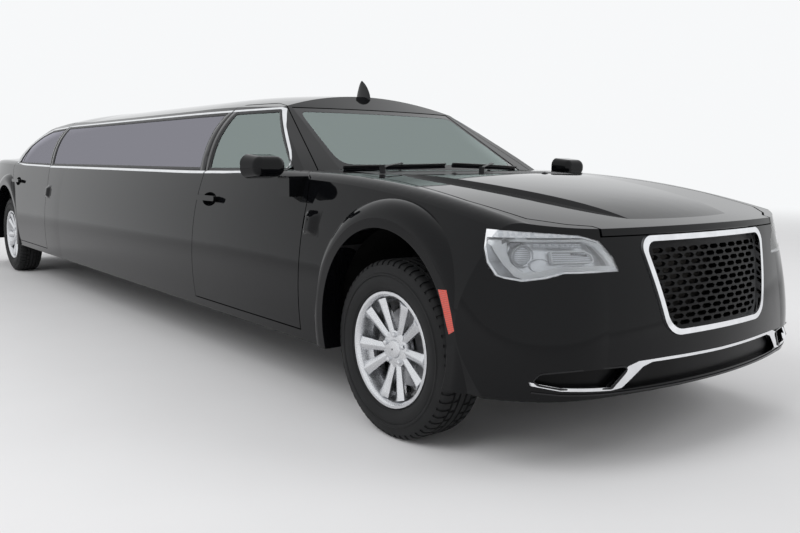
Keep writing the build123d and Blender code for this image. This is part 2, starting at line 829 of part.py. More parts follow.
def spoke_section(row):
    """One cross-section of a spoke that points along +X: a ridge between two sloping faces."""
    radius, ridge, edge, back, width = row
    half = width / 2
    with BuildSketch(Plane(origin=(radius, 0, 0), x_dir=(0, 1, 0), z_dir=(1, 0, 0))) as face:
        with BuildLine():
            Polyline((-ridge, 0), (-edge, half), (-back, half * 0.7), (-back, -half * 0.7), (-edge, -half), close=True)
        make_face()
    return face.sketch.faces()[0]


def rim():
    """One wheel about its own centre; its outer face looks along -Y."""
    seat = tyre_width / 2 - bead_inset
    half = seat + flange_width
    lip, well, wall = rim_radius + rim_lip, rim_radius - 16, 8
    barrel = [
        (lip, -half),
        (lip, -seat),
        (rim_radius, -seat),
        (rim_radius, -seat + 34),
        (well, -seat + 54),
        (well, seat - 34),
        (rim_radius, seat - 16),
        (rim_radius, seat),
        (lip, seat),
        (lip, half),
        (rim_radius + 6, half),
        (rim_radius - wall - 2, seat),
        (rim_radius - wall, seat - 14),
        (well - wall, seat - 34),
        (well - wall, -seat + 54),
        (rim_radius - wall, -seat + 34),
        (rim_radius - wall - 2, -seat),
        (rim_radius + 6, -half),
    ]
    with BuildSketch(Plane.XY) as face:
        with BuildLine():
            Polyline(*barrel, close=True)
        make_face()
    body = revolve(face.sketch, Axis.Y)
    hub = drum(0, 0, -60, -16, hub_radius) + drum(0, 0, -17, 60, 52)
    hub += drum(0, 0, -72, -59, 34)
    spoke = loft([spoke_section(row) for row in spoke_sections], ruled=True)
    spokes = []
    for pair in range(spoke_pairs):
        for lean in (-spoke_lean, spoke_lean):
            spokes.append(Rot(0, 90 + pair * 360 / spoke_pairs + lean, 0) * spoke)
    body = body.fuse(hub, *spokes)
    body -= drum(0, 0, -40, 61, spindle_radius + bearing_gap)
    return body


def knuckle():
    """The right front knuckle: the upright kingpin, its spindle and a boss between them."""
    x, z = front_axle_x, tyre_radius
    post = Pos(x, -kingpin_y, (knuckle_low + knuckle_high) / 2) * Cylinder(
        kingpin_radius, knuckle_high - knuckle_low
    )
    return post + drum(x, z, -spindle_end, -kingpin_y, spindle_radius)


knuckle_low = 222
knuckle_high = 508
spindle_end = 790
arm_low = 235
arm_high = 275
upper_arm_low = 470
upper_arm_high = 496
beam_half = 60
eye_wall = 16


def kingpin_eye(z0, z1, y_inner):
    """An arm from the car's middle to an eye round the right kingpin."""
    x = front_axle_x
    arm = block(x - 32, x + 32, -kingpin_y, -y_inner, z0, z1)
    arm += Pos(x, -kingpin_y, (z0 + z1) / 2) * Cylinder(kingpin_radius + eye_wall, z1 - z0)
    return arm - Pos(x, -kingpin_y, (z0 + z1) / 2) * Cylinder(kingpin_radius + bearing_gap, z1 - z0 + 2)


class Chassis:
    """What carries the wheels and what hangs under the floor."""

    def build(self):
        """Each node of the chassis."""
        x0, x1 = rear_axle_x, front_axle_x
        z = tyre_radius
        out = {}
        beam = block(x1 - beam_half, x1 + beam_half, -470, 470, arm_low, ride_height)
        lower = both_sides(kingpin_eye(arm_low, arm_high, 460)).solids()
        beam = beam.fuse(*lower)
        upper = both_sides(kingpin_eye(upper_arm_low, upper_arm_high, front_well_inner)).solids()
        out["front_suspension"] = Compound(children=[*beam.solids(), *upper])
        axle = drum(x0, z, -kingpin_y, kingpin_y, 36)
        axle += drum(x0, z, -spindle_end, spindle_end, spindle_radius)
        axle += drum(x0, z, -95, 95, 120)
        springs = [Pos(x0, y, (z + pan_top) / 2) * Cylinder(44, pan_top - z) for y in (-540, 540)]
        out["rear_axle"] = axle.fuse(*springs)
        shaft_from = x0 + 120
        shaft_to = fx(gearbox_end)
        out["prop_shaft"] = Pos((shaft_from + shaft_to) / 2, 0, z) * Rot(0, 90, 0) * Cylinder(
            38, shaft_to - shaft_from - 1
        )
        engine = block(fx(-300), fx(330), -250, 250, ride_height, 860)
        engine += block(fx(gearbox_end), fx(-290), -110, 110, 300, 460)
        out["engine"] = engine
        pipe_z = ride_height - 30 - 0.3
        pipes = []
        for y in (-330, 330):
            pipe = Pos((fx(-430) + rx(-1105)) / 2, y, pipe_z) * Rot(0, 90, 0)
            pipe = pipe * Cylinder(30, fx(-430) - rx(-1105))
            pipes.append(pipe + block(rx(-900), rx(-480), y - 130, y + 130, 200, ride_height - 0.3))
        out["exhaust"] = Compound(children=pipes)
        out["fuel_tank"] = block(rx(-860), rx(-420), -180, 180, 196, ride_height - 0.3)
        out["radiator"] = block(fx(545), fx(590), -340, 340, floor_top + 0.3, 800)
        return out


gearbox_end = -1000


pad_places = (fx(-750), rx(600))
pad_y = 780
pad_radius = 35
pad_drop = 8  # the jack pads stand this far below the floor


def underbody(floor, inner):
    """The floor with its tunnel, the pan over the rear axle and the bulkheads."""
    wall = well_wall
    tunnel = block(rx(290), fx(-320), -tunnel_half - wall, tunnel_half + wall, floor_top - 30, tunnel_top + wall)
    hollow = block(rx(200), fx(-200), -tunnel_half, tunnel_half, 0, tunnel_top)
    pan = block(rx(-306), rx(306), 1 - rear_well_inner, rear_well_inner - 1, floor_top - 30, pan_top + wall)
    pan -= block(rx(-300), rx(300), -700, 700, 0, pan_top)
    plates = block(fx(-560), fx(-536), -940, 940, floor_top - 1, 1100)
    plates += block(rx(-424), rx(-404), -940, 940, floor_top - 1, 1100)
    plates &= inner
    plates -= Compound(children=[s for w in wells(wall) for s in both_sides(w).solids()])
    keep = rear_well_inner - wall
    pan &= block(rx(-400), rx(400), -keep, keep, 0, 700)
    pads = [Pos(x, y, ride_height) * Cylinder(pad_radius, 2 * pad_drop) for x in pad_places for y in (-pad_y, pad_y)]
    body = floor + tunnel + pan + plates
    return (body - hollow) + pads


def housings(inner):
    """The liners that close the wheel wells inside the body."""
    space = inner & block(rx(-1000), fx(1000), -1000, 1000, ride_height, 1000)
    out = []
    for outer, hole in zip(wells(well_wall), wells()):
        liner = (outer - hole) & space
        liner -= drum(rear_axle_x, tyre_radius, -700, -600, 60)
        out.extend(both_sides(liner).solids())
    return Compound(children=out)


seat_profile = [(-1050, 420), (-1050, 585), (-1120, 620), (-1470, 596), (-1620, 1150), (-1705, 1160)]
seat_profile += [(-1600, 480), (-1560, 420)]
dash_profile = [(-560, 640), (-560, 984), (-700, 984), (-875, 915), (-900, 780), (-830, 640)]
dash_half = 760
wheel_y = 400
wheel_x = -1010
wheel_z = 860
wheel_rake = 25
wheel_ring = 185
wheel_grip = 15
lounge_front = -1890
lounge_rear = 1480
partition_x = -1880


def front_axle_profile(points):
    """Points given from the front axle, as places in the car."""
    return [(fx(x), z) for x, z in points]


class Interior:
    """The driver's cabin and the lounge."""

    def __init__(self, inner):
        self.inner = inner

    def build(self):
        """Each node of the inside."""
        out = {}
        dash = extrude(side_face(front_axle_profile(dash_profile), -dash_half), 2 * dash_half, dir=(0, 1, 0))
        column = self.on_column(Pos(0, 0, -108.3) * Cylinder(34, 160))
        out["dashboard"] = dash + column
        seats = []
        for y in (-640, 160):
            seat = extrude(side_face(front_axle_profile(seat_profile), y), 480, dir=(0, 1, 0))
            seat += block(fx(-1500), fx(-1110), y + 60, y + 420, floor_top, 430)
            seat += block(fx(-1740), fx(-1668), y + 120, y + 360, 1100, 1290)
            seats.append(seat)
        out["front_seats"] = Compound(children=seats)
        plate = block(fx(partition_x), fx(partition_x + 30), -900, 900, floor_top, 1500) & self.inner
        plate -= block(fx(partition_x - 5), fx(partition_x + 40), -480, 480, 900, 1250)
        half = tunnel_half + well_wall
        plate -= block(fx(partition_x - 5), fx(partition_x + 40), -half, half, 0, tunnel_top + well_wall)
        out["partition"] = plate
        side = block(rx(lounge_rear), fx(lounge_front), 290, 780, floor_top, 700)
        side += block(rx(lounge_rear), fx(lounge_front), 690, 790, floor_top, 1000)
        out["side_bench"] = side
        rear = block(rx(-300), rx(300), -620, 620, pan_top + well_wall, 760)
        rear += block(rx(-400), rx(-290), -620, 620, 600, 1040)
        out["rear_bench"] = rear
        out["bar_cabinet"] = block(rx(lounge_rear), fx(lounge_front), -790, -430, floor_top, 820)
        return out

    @staticmethod
    def on_column(shape):
        """A shape made about the steering column, which points at the driver."""
        return Pos(fx(wheel_x), wheel_y, wheel_z) * Rot(0, wheel_rake - 90, 0) * shape

    def steering_wheel(self):
        """The steering wheel with its three spokes."""
        wheel = Torus(wheel_ring, wheel_grip)
        wheel += Pos(0, 0, -8) * Cylinder(60, 40)
        for angle in (0, 90, 180):
            spoke = Pos(wheel_ring / 2 + 20, 0, -4) * Box(wheel_ring - 40, 34, 14)
            wheel += Rot(0, 0, angle) * spoke
        return self.on_column(wheel)


handle_length = 240


def door_handle(x_rear, z):
    """A pull handle on a door of the right side, from its rear end."""
    grip = block(x_rear, x_rear + handle_length, -947, -930, z - 14, z + 14)
    grip = fillet(grip.edges().filter_by(Axis.Y), 12)
    for x in (x_rear + 4, x_rear + handle_length - 34):
        grip += block(x, x + 30, -935, -870, z - 10, z + 10)
    return grip


def handle_dish(x_rear, z):
    """The hollow behind a pull handle, right side."""
    dish = scale(Sphere(1), by=(handle_length * 0.42, 32, 46))
    return Pos(x_rear + handle_length / 2, -930, z) * dish


def door_mirror():
    """The right outside mirror's housing on its foot."""
    near, far = [
        Plane(origin=(x, -1020, 1062), x_dir=(0, 1, 0), z_dir=(1, 0, 0)) for x in (fx(-700), fx(-812))
    ]
    housing = loft([near * RectangleRounded(150, 84, 40), far * RectangleRounded(190, 108, 44)])
    housing = fillet(housing.faces().sort_by(Axis.X)[-1].edges(), 34)
    foot = block(fx(-750), fx(-650), -960, -860, 930, 1020)
    return housing + foot


def antenna():
    """The fin on the roof."""
    fin = [(fx(-1370), 1430), (fx(-1508), 1430), (fx(-1500), 1548), (fx(-1478), 1552)]
    return extrude(side_face(fin, -14), 28, dir=(0, 1, 0))


def solids_of(shape):
    """The shape as one solid, or as a compound where it has several."""
    solids = shape.solids()
    return solids[0] if len(solids) == 1 else Compound(children=list(solids))


def build_nodes():
    """Every node of the car by its name."""
    body = Body()
    nodes = dict(body.panels())
    nodes.update(Nose(nodes["front_bumper"], nodes["headlamps"]).build())
    nodes["underbody"] = underbody(nodes["underbody"], body.inner)
    nodes["wheel_housings"] = housings(body.inner)
    pins = []
    for name, door in body.doors.items():
        outline = front_door_outline if name == "front" else rear_door_outline
        handle_x = fx(-1690) if name == "front" else rx(300)
        x = outline[0][0] + hinge_forward
        parts = (door - handle_dish(handle_x, 890)) + door_handle(handle_x, 890)
        panel = "front_fenders" if name == "front" else "stretch_panels"
        for z in door_hinge_heights:
            arm, pin, pocket = door_hinge(x, z)
            nodes[panel] -= pocket
            nodes[panel] -= mirrored(pocket)
            parts += arm
            pins.extend(both_sides(pin).solids())
        nodes[f"door_{name}_right"] = parts
        nodes[f"door_{name}_left"] = mirrored(parts)
    deck = block(rx(-600), fx(0), -900, 900, 800, 1200) & body.inner
    for name, x, z, line, turn in (
        ("hood", hood_hinge_x, hood_hinge_z, hood_arm, 1),
        ("trunk_lid", lid_hinge_x, lid_hinge_z, lid_arm, -1),
    ):
        arm, pin, plate = lid_hinge(x, z, line, turn)
        nodes[name] = nodes[name] + arm + mirrored(arm)
        pins.extend(both_sides(pin + (plate & deck)).solids())
    nodes["hinge_pins"] = Compound(children=pins)
    room = hinge_height / 4 + 7
    notch = block(lid_hinge_x - 112, lid_hinge_x - 66, -lid_hinge_y - room, -lid_hinge_y + room, 1000, lid_hinge_z + 48)
    nodes["rear_quarters"] -= [notch, mirrored(notch)]
    nodes["windscreen"] = body.glass & long_prism(screen_outline, fx(-1480), fx(-200), -seal_gap)
    nodes["rear_window"] = body.glass & long_prism(backlight_outline, rx(-700), rx(600), -seal_gap)
    nodes["side_glass"] = both_sides(body.glass & window_prism(long_window_outline, -seal_gap))
    for name, outline in (("front", front_window_outline), ("rear", rear_window_outline)):
        pane = body.glass & window_prism(outline, -seal_gap)
        nodes[f"glass_{name}_right"] = pane
        nodes[f"glass_{name}_left"] = mirrored(pane)
    mirror_right = door_mirror() - body.outer
    nodes["mirror_right"] = mirror_right
    nodes["mirror_left"] = mirrored(mirror_right)
    nodes["antenna_fin"] = antenna() - body.outer
    nodes.update(Chassis().build())
    interior = Interior(body.inner)
    nodes.update(interior.build())
    nodes["steering_wheel"] = interior.steering_wheel()
    nodes["knuckle_right"] = knuckle()
    nodes["knuckle_left"] = mirrored(knuckle())
    wheel, cover = rim(), tyre()
    for end, x in (("front", front_axle_x), ("rear", rear_axle_x)):
        place = Pos(x, -track_half, tyre_radius)
        nodes[f"wheel_{end}_right"] = place * wheel
        nodes[f"wheel_{end}_left"] = mirrored(place * wheel)
        nodes[f"tyre_{end}_right"] = place * cover
        nodes[f"tyre_{end}_left"] = mirrored(place * cover)
    return nodes


def main():
    """Write each node's solids."""
    os.makedirs("parts", exist_ok=True)
    for name, shape in build_nodes().items():
        export_step(solids_of(shape), f"parts/{name}.step")


if __name__ == "__main__":
    main()
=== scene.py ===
"""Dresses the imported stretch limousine: finishes, what the CAD leaves plain, and the stage.

Metres, in the frame of the CAD: +X to the nose, +Y to the car's left, +Z up, the ground at Z = 0.
"""
from __future__ import annotations

import json
import logging
import math
from dataclasses import dataclass
from enum import Enum
from typing import Callable, Sequence

import bmesh
import bpy
from mathutils import Matrix, Vector

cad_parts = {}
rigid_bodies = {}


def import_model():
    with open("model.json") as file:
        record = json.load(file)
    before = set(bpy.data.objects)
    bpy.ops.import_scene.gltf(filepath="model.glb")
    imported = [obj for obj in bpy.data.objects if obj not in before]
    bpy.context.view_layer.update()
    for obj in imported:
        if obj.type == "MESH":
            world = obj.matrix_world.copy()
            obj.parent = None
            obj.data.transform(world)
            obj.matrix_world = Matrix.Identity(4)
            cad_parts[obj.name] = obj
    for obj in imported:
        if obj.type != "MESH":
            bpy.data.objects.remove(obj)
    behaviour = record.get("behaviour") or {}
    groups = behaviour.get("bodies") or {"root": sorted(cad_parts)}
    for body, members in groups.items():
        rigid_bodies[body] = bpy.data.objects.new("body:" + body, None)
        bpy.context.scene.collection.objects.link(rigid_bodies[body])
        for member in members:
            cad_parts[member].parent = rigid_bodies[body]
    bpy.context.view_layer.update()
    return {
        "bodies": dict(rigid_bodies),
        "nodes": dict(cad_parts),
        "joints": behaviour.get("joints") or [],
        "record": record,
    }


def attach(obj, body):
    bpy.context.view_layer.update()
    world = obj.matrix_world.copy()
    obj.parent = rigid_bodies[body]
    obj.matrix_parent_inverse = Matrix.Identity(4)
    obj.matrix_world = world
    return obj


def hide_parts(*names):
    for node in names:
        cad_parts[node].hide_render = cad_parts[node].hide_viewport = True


log = logging.getLogger("limousine")

FRONT_AXLE = 3.176
REAR_AXLE = -2.924
AXLE_HEIGHT = 0.3555
TRACK_HALF = 0.805

Point = tuple[float, float, float]
Pair = tuple[float, float]
Line = Sequence[Pair]
Piece = bpy.types.Object
Socket = bpy.types.NodeSocket
Material = bpy.types.Material
Facet = bmesh.types.BMFace


def front(x: float) -> float:
    """Place along X of a point given in metres forward of the front axle."""
    return FRONT_AXLE + x


def rear(x: float) -> float:
    """Place along X of a point given in metres forward of the rear axle."""
    return REAR_AXLE + x


class Named(Enum):
    """Something that the nodes name in small letters."""

    @property
    def word(self) -> str:
        """The name as the nodes write it."""
        return self.name.lower()


class Side(Named):
    """The car's two sides, with the sign of their Y."""

    RIGHT = -1
    LEFT = 1


class Axle(Named):
    """The two axles, with their places along X."""

    FRONT = FRONT_AXLE
    REAR = REAR_AXLE


class Graph:
    """A small builder of node trees."""

    def __init__(self, tree: bpy.types.NodeTree) -> None:
        """Hold the tree and its output."""
        self.tree = tree
        self.output = next(n for n in tree.nodes if n.type.startswith("OUTPUT"))

    def add(self, kind: str, **settings: object) -> bpy.types.Node:
        """Add a node of a Blender type, with its own properties."""
        node = self.tree.nodes.new(kind)
        for key, value in settings.items():
            setattr(node, key, value)
        return node

    def link(self, source: Socket, target: Socket) -> None:
        """Join an output to an input."""
        self.tree.links.new(source, target)

    def work(self, operation: str, *sources: Socket) -> Socket:
        """Fold values into one, two at a time, by the operation."""
        total, *rest = sources
        for source in rest:
            node = self.add("ShaderNodeMath", operation=operation)
            self.link(total, node.inputs[0])
            self.link(source, node.inputs[1])
            total = node.outputs["Value"]
        return total

    def seen(self, *kinds: str) -> Socket:
        """Whether a ray is of one of the kinds."""
        path = self.add("ShaderNodeLightPath")
        return self.work("MAXIMUM", *(path.outputs[f"Is {kind} Ray"] for kind in kinds))

    def blend(self, share: Socket, first: bpy.types.Node, second: bpy.types.Node) -> None:
        """Show a mix of two shaders, the second one by the share."""
        mix = self.add("ShaderNodeMixShader")
        self.link(share, mix.inputs["Fac"])
        self.link(first.outputs[0], mix.inputs[1])
        self.link(second.outputs[0], mix.inputs[2])
        self.link(mix.outputs["Shader"], self.output.inputs["Surface"])


class Shader(Graph):
    """A small builder of node materials."""

    def __init__(self, name: str) -> None:
        """Make a material with its output and one principled shader."""
        self.material = bpy.data.materials.new(name)
        self.material.use_nodes = True
        super().__init__(self.material.node_tree)
        self.surface = next(n for n in self.tree.nodes if n.type == "BSDF_PRINCIPLED")

    def set(self, **values: object) -> None:
        """Set the principled shader's sockets; an underscore in a name stands for a space."""
        for key, value in values.items():
            self.surface.inputs[key.replace("_", " ")].default_value = value

    def place(self, scale: Point = (1, 1, 1)) -> Socket:
        """Object coordinates, as many times finer along each axis as the scale says."""
        coords = self.add("ShaderNodeTexCoord")
        mapping = self.add("ShaderNodeMapping")
        mapping.inputs["Scale"].default_value = scale
        self.link(coords.outputs["Object"], mapping.inputs["Vector"])
        return mapping.outputs["Vector"]

    def colour(self, source: Socket) -> None:
        """Link the principled shader's base colour."""
        self.link(source, self.surface.inputs["Base Color"])

    def rough(self, factor: Socket, low: float, high: float) -> None:
        """Let the principled shader's roughness run from low to high with the factor."""
        self.link(self.span(factor, low, high), self.surface.inputs["Roughness"])

    def noise(self, size: float, detail: float = 3.0, stretch: Point = (1, 1, 1)) -> Socket:
        """Noise whose grains are about the given size in metres; returns its factor."""
        grain = self.add("ShaderNodeTexNoise")
        grain.inputs["Scale"].default_value = 1.0 / size
        grain.inputs["Detail"].default_value = detail
        self.link(self.place(stretch), grain.inputs["Vector"])
        return grain.outputs["Fac"]

    def ramp(self, factor: Socket, low: Sequence[float], high: Sequence[float],
             start: float = 0.3, end: float = 0.7) -> Socket:
        """A colour that runs from low to high as the factor goes from start to end."""
        node = self.add("ShaderNodeValToRGB")
        first, last = node.color_ramp.elements
        first.position, last.position = start, end
        first.color, last.color = (*low, 1.0), (*high, 1.0)
        self.link(factor, node.inputs["Fac"])
        return node.outputs["Color"]

    def span(self, factor: Socket, low: float, high: float) -> Socket:
        """The factor's range of 0 to 1 as a value from low to high."""
        node = self.add("ShaderNodeMapRange")
        node.inputs["To Min"].default_value = low
        node.inputs["To Max"].default_value = high
        self.link(factor, node.inputs["Value"])
        return node.outputs["Result"]

    def bump(self, height: Socket, distance: float, strength: float) -> None:
        """Raise the surface by the height times the distance in metres."""
        node = self.add("ShaderNodeBump")
        node.inputs["Strength"].default_value = strength
        node.inputs["Distance"].default_value = distance
        self.link(height, node.inputs["Height"])
        self.link(node.outputs["Normal"], self.surface.inputs["Normal"])


@dataclass(frozen=True)
class PaintFinish:
    """Black body paint: a dark base with fine flake under a clear coat."""

    name: str = "body_black"
    low: Point = (0.0015, 0.0016, 0.002)
    high: Point = (0.003, 0.0032, 0.004)
    flake: float = 0.0011
    peel: float = 0.011

    def make(self) -> Material:
        """Build the material."""
        shader = Shader(self.name)
        shader.set(Metallic=0.0, IOR=1.5, Specular_IOR_Level=0.2)
        flake = shader.noise(self.flake, 1.0)
        shader.colour(shader.ramp(flake, self.low, self.high))
        shader.rough(shader.noise(0.21, 2.0), 0.02, 0.05)
        shader.bump(shader.noise(self.peel, 1.0), 0.0003, 0.02)
        return shader.material


@dataclass(frozen=True)
class MetalFinish:
    """A bright, cast, brushed or machined metal."""

    name: str
    colour: Point
    roughness: float
    spread: float = 0.05
    grain: float = 0.02
    depth: float = 0.00005
    metallic: float = 1.0
    stretch: Point = (1, 1, 1)

    def make(self) -> Material:
        """Build the material."""
        shader = Shader(self.name)
        shader.set(Metallic=self.metallic, Roughness=self.roughness)
        grain = shader.noise(self.grain, 4.0, self.stretch)
        dark = tuple(c * 0.88 for c in self.colour)
        shader.colour(shader.ramp(grain, dark, self.colour))
        shader.rough(grain, max(0.02, self.roughness - self.spread), self.roughness + self.spread)
        shader.bump(shader.noise(self.grain / 8, 2.0, self.stretch), self.depth, 0.4)
        return shader.material


@dataclass(frozen=True)
class MouldedFinish:
    """Moulded plastic or rubber with a fine pebbled grain."""

    name: str
    colour: Point
    roughness: float
    grain: float = 0.0012
    depth: float = 0.00012
    sheen: float = 0.0
    gloss: float = 0.5

    def make(self) -> Material:
        """Build the material."""
        shader = Shader(self.name)
        shader.set(Roughness=self.roughness, Sheen_Weight=self.sheen, Specular_IOR_Level=self.gloss)
        tone = shader.noise(0.09, 3.0)
        light = tuple(min(1.0, c * 1.35 + 0.002) for c in self.colour)
        shader.colour(shader.ramp(tone, self.colour, light))
        shader.rough(tone, max(0.05, self.roughness - 0.07), self.roughness + 0.07)
        pebble = shader.add("ShaderNodeTexVoronoi")
        pebble.inputs["Scale"].default_value = 1.0 / self.grain
        shader.link(shader.place(), pebble.inputs["Vector"])
        shader.bump(pebble.outputs["Distance"], self.depth, 0.5)
        return shader.material


@dataclass(frozen=True)
class GlassFinish:
    """Thin glass, clear or tinted, that lets light and shadow rays through."""

    name: str
    tint: Point
    clear: float
    roughness: float = 0.01
    mirror: float = 0.0
    shine: Point = (1, 1, 1)

    def make(self) -> Material:
        """Build the material: a see-through layer under a glossy one that grows towards the edge of view."""
        shader = Shader(self.name)
        shader.tree.nodes.remove(shader.surface)
        through = shader.add("ShaderNodeBsdfTransparent")
        speck = shader.noise(0.4, 2.0)
        low = tuple(c * self.clear * 0.94 for c in self.tint)
        high = tuple(c * self.clear for c in self.tint)
        shader.link(shader.ramp(speck, low, high), through.inputs["Color"])
        gloss = shader.add("ShaderNodeBsdfGlossy")
        gloss.inputs["Roughness"].default_value = self.roughness
        gloss.inputs["Color"].default_value = (*self.shine, 1)
        fresnel = shader.add("ShaderNodeFresnel")
        fresnel.inputs["IOR"].default_value = 1.52
        least = shader.add("ShaderNodeMath", operation="MAXIMUM")
        least.inputs[1].default_value = self.mirror
        shader.link(fresnel.outputs["Fac"], least.inputs[0])
        shader.blend(least.outputs["Value"], through, gloss)
        return shader.material


@dataclass(frozen=True)
class LensFinish:
    """Coloured lamp plastic, ribbed inside."""

    name: str
    colour: Point
    glow: float = 0.0

    def make(self) -> Material:
        """Build the material."""
        shader = Shader(self.name)
        shader.set(Roughness=0.12, Coat_Weight=1.0, Coat_Roughness=0.03)
        rib = shader.add("ShaderNodeTexWave", wave_type="BANDS", bands_direction="Z")
        rib.inputs["Scale"].default_value = 48.0
        shader.link(shader.place(), rib.inputs["Vector"])
        dark = tuple(c * 0.5 for c in self.colour)
        shader.colour(shader.ramp(rib.outputs["Fac"], dark, self.colour, 0.1, 0.9))
        if self.glow:
            shader.set(Emission_Color=(*self.colour, 1.0), Emission_Strength=self.glow)
        return shader.material


@dataclass(frozen=True)
class LeatherFinish:
    """Upholstery leather with its fine creases."""

    name: str
    colour: Point

    def make(self) -> Material:
        """Build the material."""
        shader = Shader(self.name)
        shader.set(Roughness=0.46, Coat_Weight=0.15, Coat_Roughness=0.35)
        tone = shader.noise(0.12, 4.0)
        light = tuple(min(1.0, c * 1.5 + 0.004) for c in self.colour)
        shader.colour(shader.ramp(tone, self.colour, light))
        crease = shader.add("ShaderNodeTexVoronoi", feature="DISTANCE_TO_EDGE")
        crease.inputs["Scale"].default_value = 420.0
        shader.link(shader.place(), crease.inputs["Vector"])
        shader.bump(crease.outputs["Distance"], 0.0006, 0.5)
        return shader.material


class Finishes:
    """Every finish of the car, made once and handed out by name."""

    def __init__(self) -> None:
        """Make the materials."""
        specs = [
            PaintFinish(),
            MetalFinish("bright_chrome", (0.86, 0.87, 0.89), 0.07, 0.03, 0.05, 0.00001),
            MetalFinish("alloy_silver", (0.74, 0.75, 0.77), 0.27, 0.05, 0.004, 0.00004),
            MetalFinish("machined_steel", (0.46, 0.46, 0.47), 0.34, 0.08, 0.01, 0.0001, stretch=(1, 12, 1)),
            MetalFinish("cast_iron", (0.08, 0.075, 0.07), 0.62, 0.1, 0.012, 0.0006, 0.7),
            MetalFinish("lamp_silver", (0.93, 0.94, 0.96), 0.2, 0.05, 0.03, 0.00002, 0.45),
            MouldedFinish("trim_black", (0.007, 0.007, 0.008), 0.42, gloss=0.3),
            MouldedFinish("grille_black", (0.0022, 0.0022, 0.0025), 0.36, gloss=0.12),
            MouldedFinish("cabin_carpet", (0.012, 0.012, 0.013), 0.95, 0.004, 0.002, 0.3, 0.1),
            MouldedFinish("gloss_black", (0.003, 0.003, 0.004), 0.08, 0.02, 0.00001, gloss=0.35),
            MouldedFinish("tyre_rubber", (0.0085, 0.0087, 0.0092), 0.68, 0.0016, 0.0002, gloss=0.28),
            MouldedFinish("underseal", (0.006, 0.006, 0.006), 0.85, 0.006, 0.0012, gloss=0.1),
            MouldedFinish("cabin_plastic", (0.022, 0.022, 0.024), 0.6, 0.002),
            MouldedFinish("cabinet_lacquer", (0.035, 0.016, 0.008), 0.16, 0.02, 0.00002),
            GlassFinish("clear_glass", (0.8, 0.9, 0.88), 0.8, mirror=0.3, shine=(0.8, 0.93, 0.9)),
            GlassFinish("tinted_glass", (0.3, 0.31, 0.33), 0.3, mirror=0.34, shine=(0.72, 0.71, 0.8)),
            GlassFinish("lamp_glass", (0.98, 0.99, 1.0), 0.96),
            LensFinish("tail_red", (0.24, 0.003, 0.004)),
            LensFinish("marker_orange", (0.6, 0.035, 0.008), 0.05),
            MouldedFinish("lamp_milk", (0.86, 0.88, 0.9), 0.22, 0.01, 0.00001, gloss=0.6),
            MetalFinish("lamp_smoke", (0.2, 0.2, 0.21), 0.25, 0.05, 0.02, 0.00001),
            LensFinish("lamp_clear", (0.86, 0.88, 0.92), 0.05),
            LeatherFinish("seat_leather", (0.028, 0.026, 0.026)),
        ]
        self.made = {spec.name: spec.make() for spec in specs}

    def of(self, name: str) -> Material:
        """The finish of that name."""
        return self.made[name]

    def coat(self, piece: Piece, name: str, angle: float = 35.0) -> Piece:
        """Shade a piece smooth, with sharp edges above the angle in degrees, and give it a finish."""
        Bench.smooth(piece, angle)
        Bench.paint(piece, self.of(name))
        return piece

    def fit(self, parts: Sequence[Piece], name: str, finish: str, slot: str) -> None:
        """Join parts into one piece of that name, coat it and let it ride on the body."""
        piece = Bench.join(parts, name) if len(parts) > 1 else parts[0]
        piece.name = name
        seat(self.coat(piece, finish), slot)


def seat(piece: Piece, slot: str, body: str = "body", node: str = "") -> None:
    """Let a piece ride on a body and, where it stands for a CAD node, hide that node."""
    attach(piece, body)
    if node:
        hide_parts(node)
    log.info("%s: %d faces", piece.name, len(piece.data.polygons))


SLOT_FINISH = {
    "body_paint": "body_black",
    "chrome": "bright_chrome",
    "black_plastic": "trim_black",
    "lamp_body": "lamp_silver",
    "lamp_lens": "lamp_glass",
    "tail_lens": "tail_red",
    "marker_lens": "marker_orange",
    "clear_glass": "clear_glass",
    "dark_glass": "tinted_glass",
    "underseal": "underseal",
    "steel": "machined_steel",
    "cast": "cast_iron",
    "wheel_alloy": "alloy_silver",
    "tyre_rubber": "tyre_rubber",
    "cabin_trim": "cabin_plastic",
    "seat_leather": "seat_leather",
    "cabinet": "cabinet_lacquer",
}

NODE_FINISH = {"grille": "grille_black", "lower_grilles": "grille_black"}


def dress(frame: dict, finishes: Finishes) -> None:
    """Give every CAD node of the frame its finish."""
    slots = {row["node"]: row["material_slot"] for row in frame["record"]["subparts"]}
    for name, node in frame["nodes"].items():
        finish = NODE_FINISH.get(name, SLOT_FINISH[slots[name]])
        Bench.paint(node, finishes.of(finish))
        log.info("cad part %s: %s", name, finish)


def circle(count: int) -> list[float]:
    """As many angles round a full turn, in radians."""
    return [math.tau * k / count for k in range(count)]


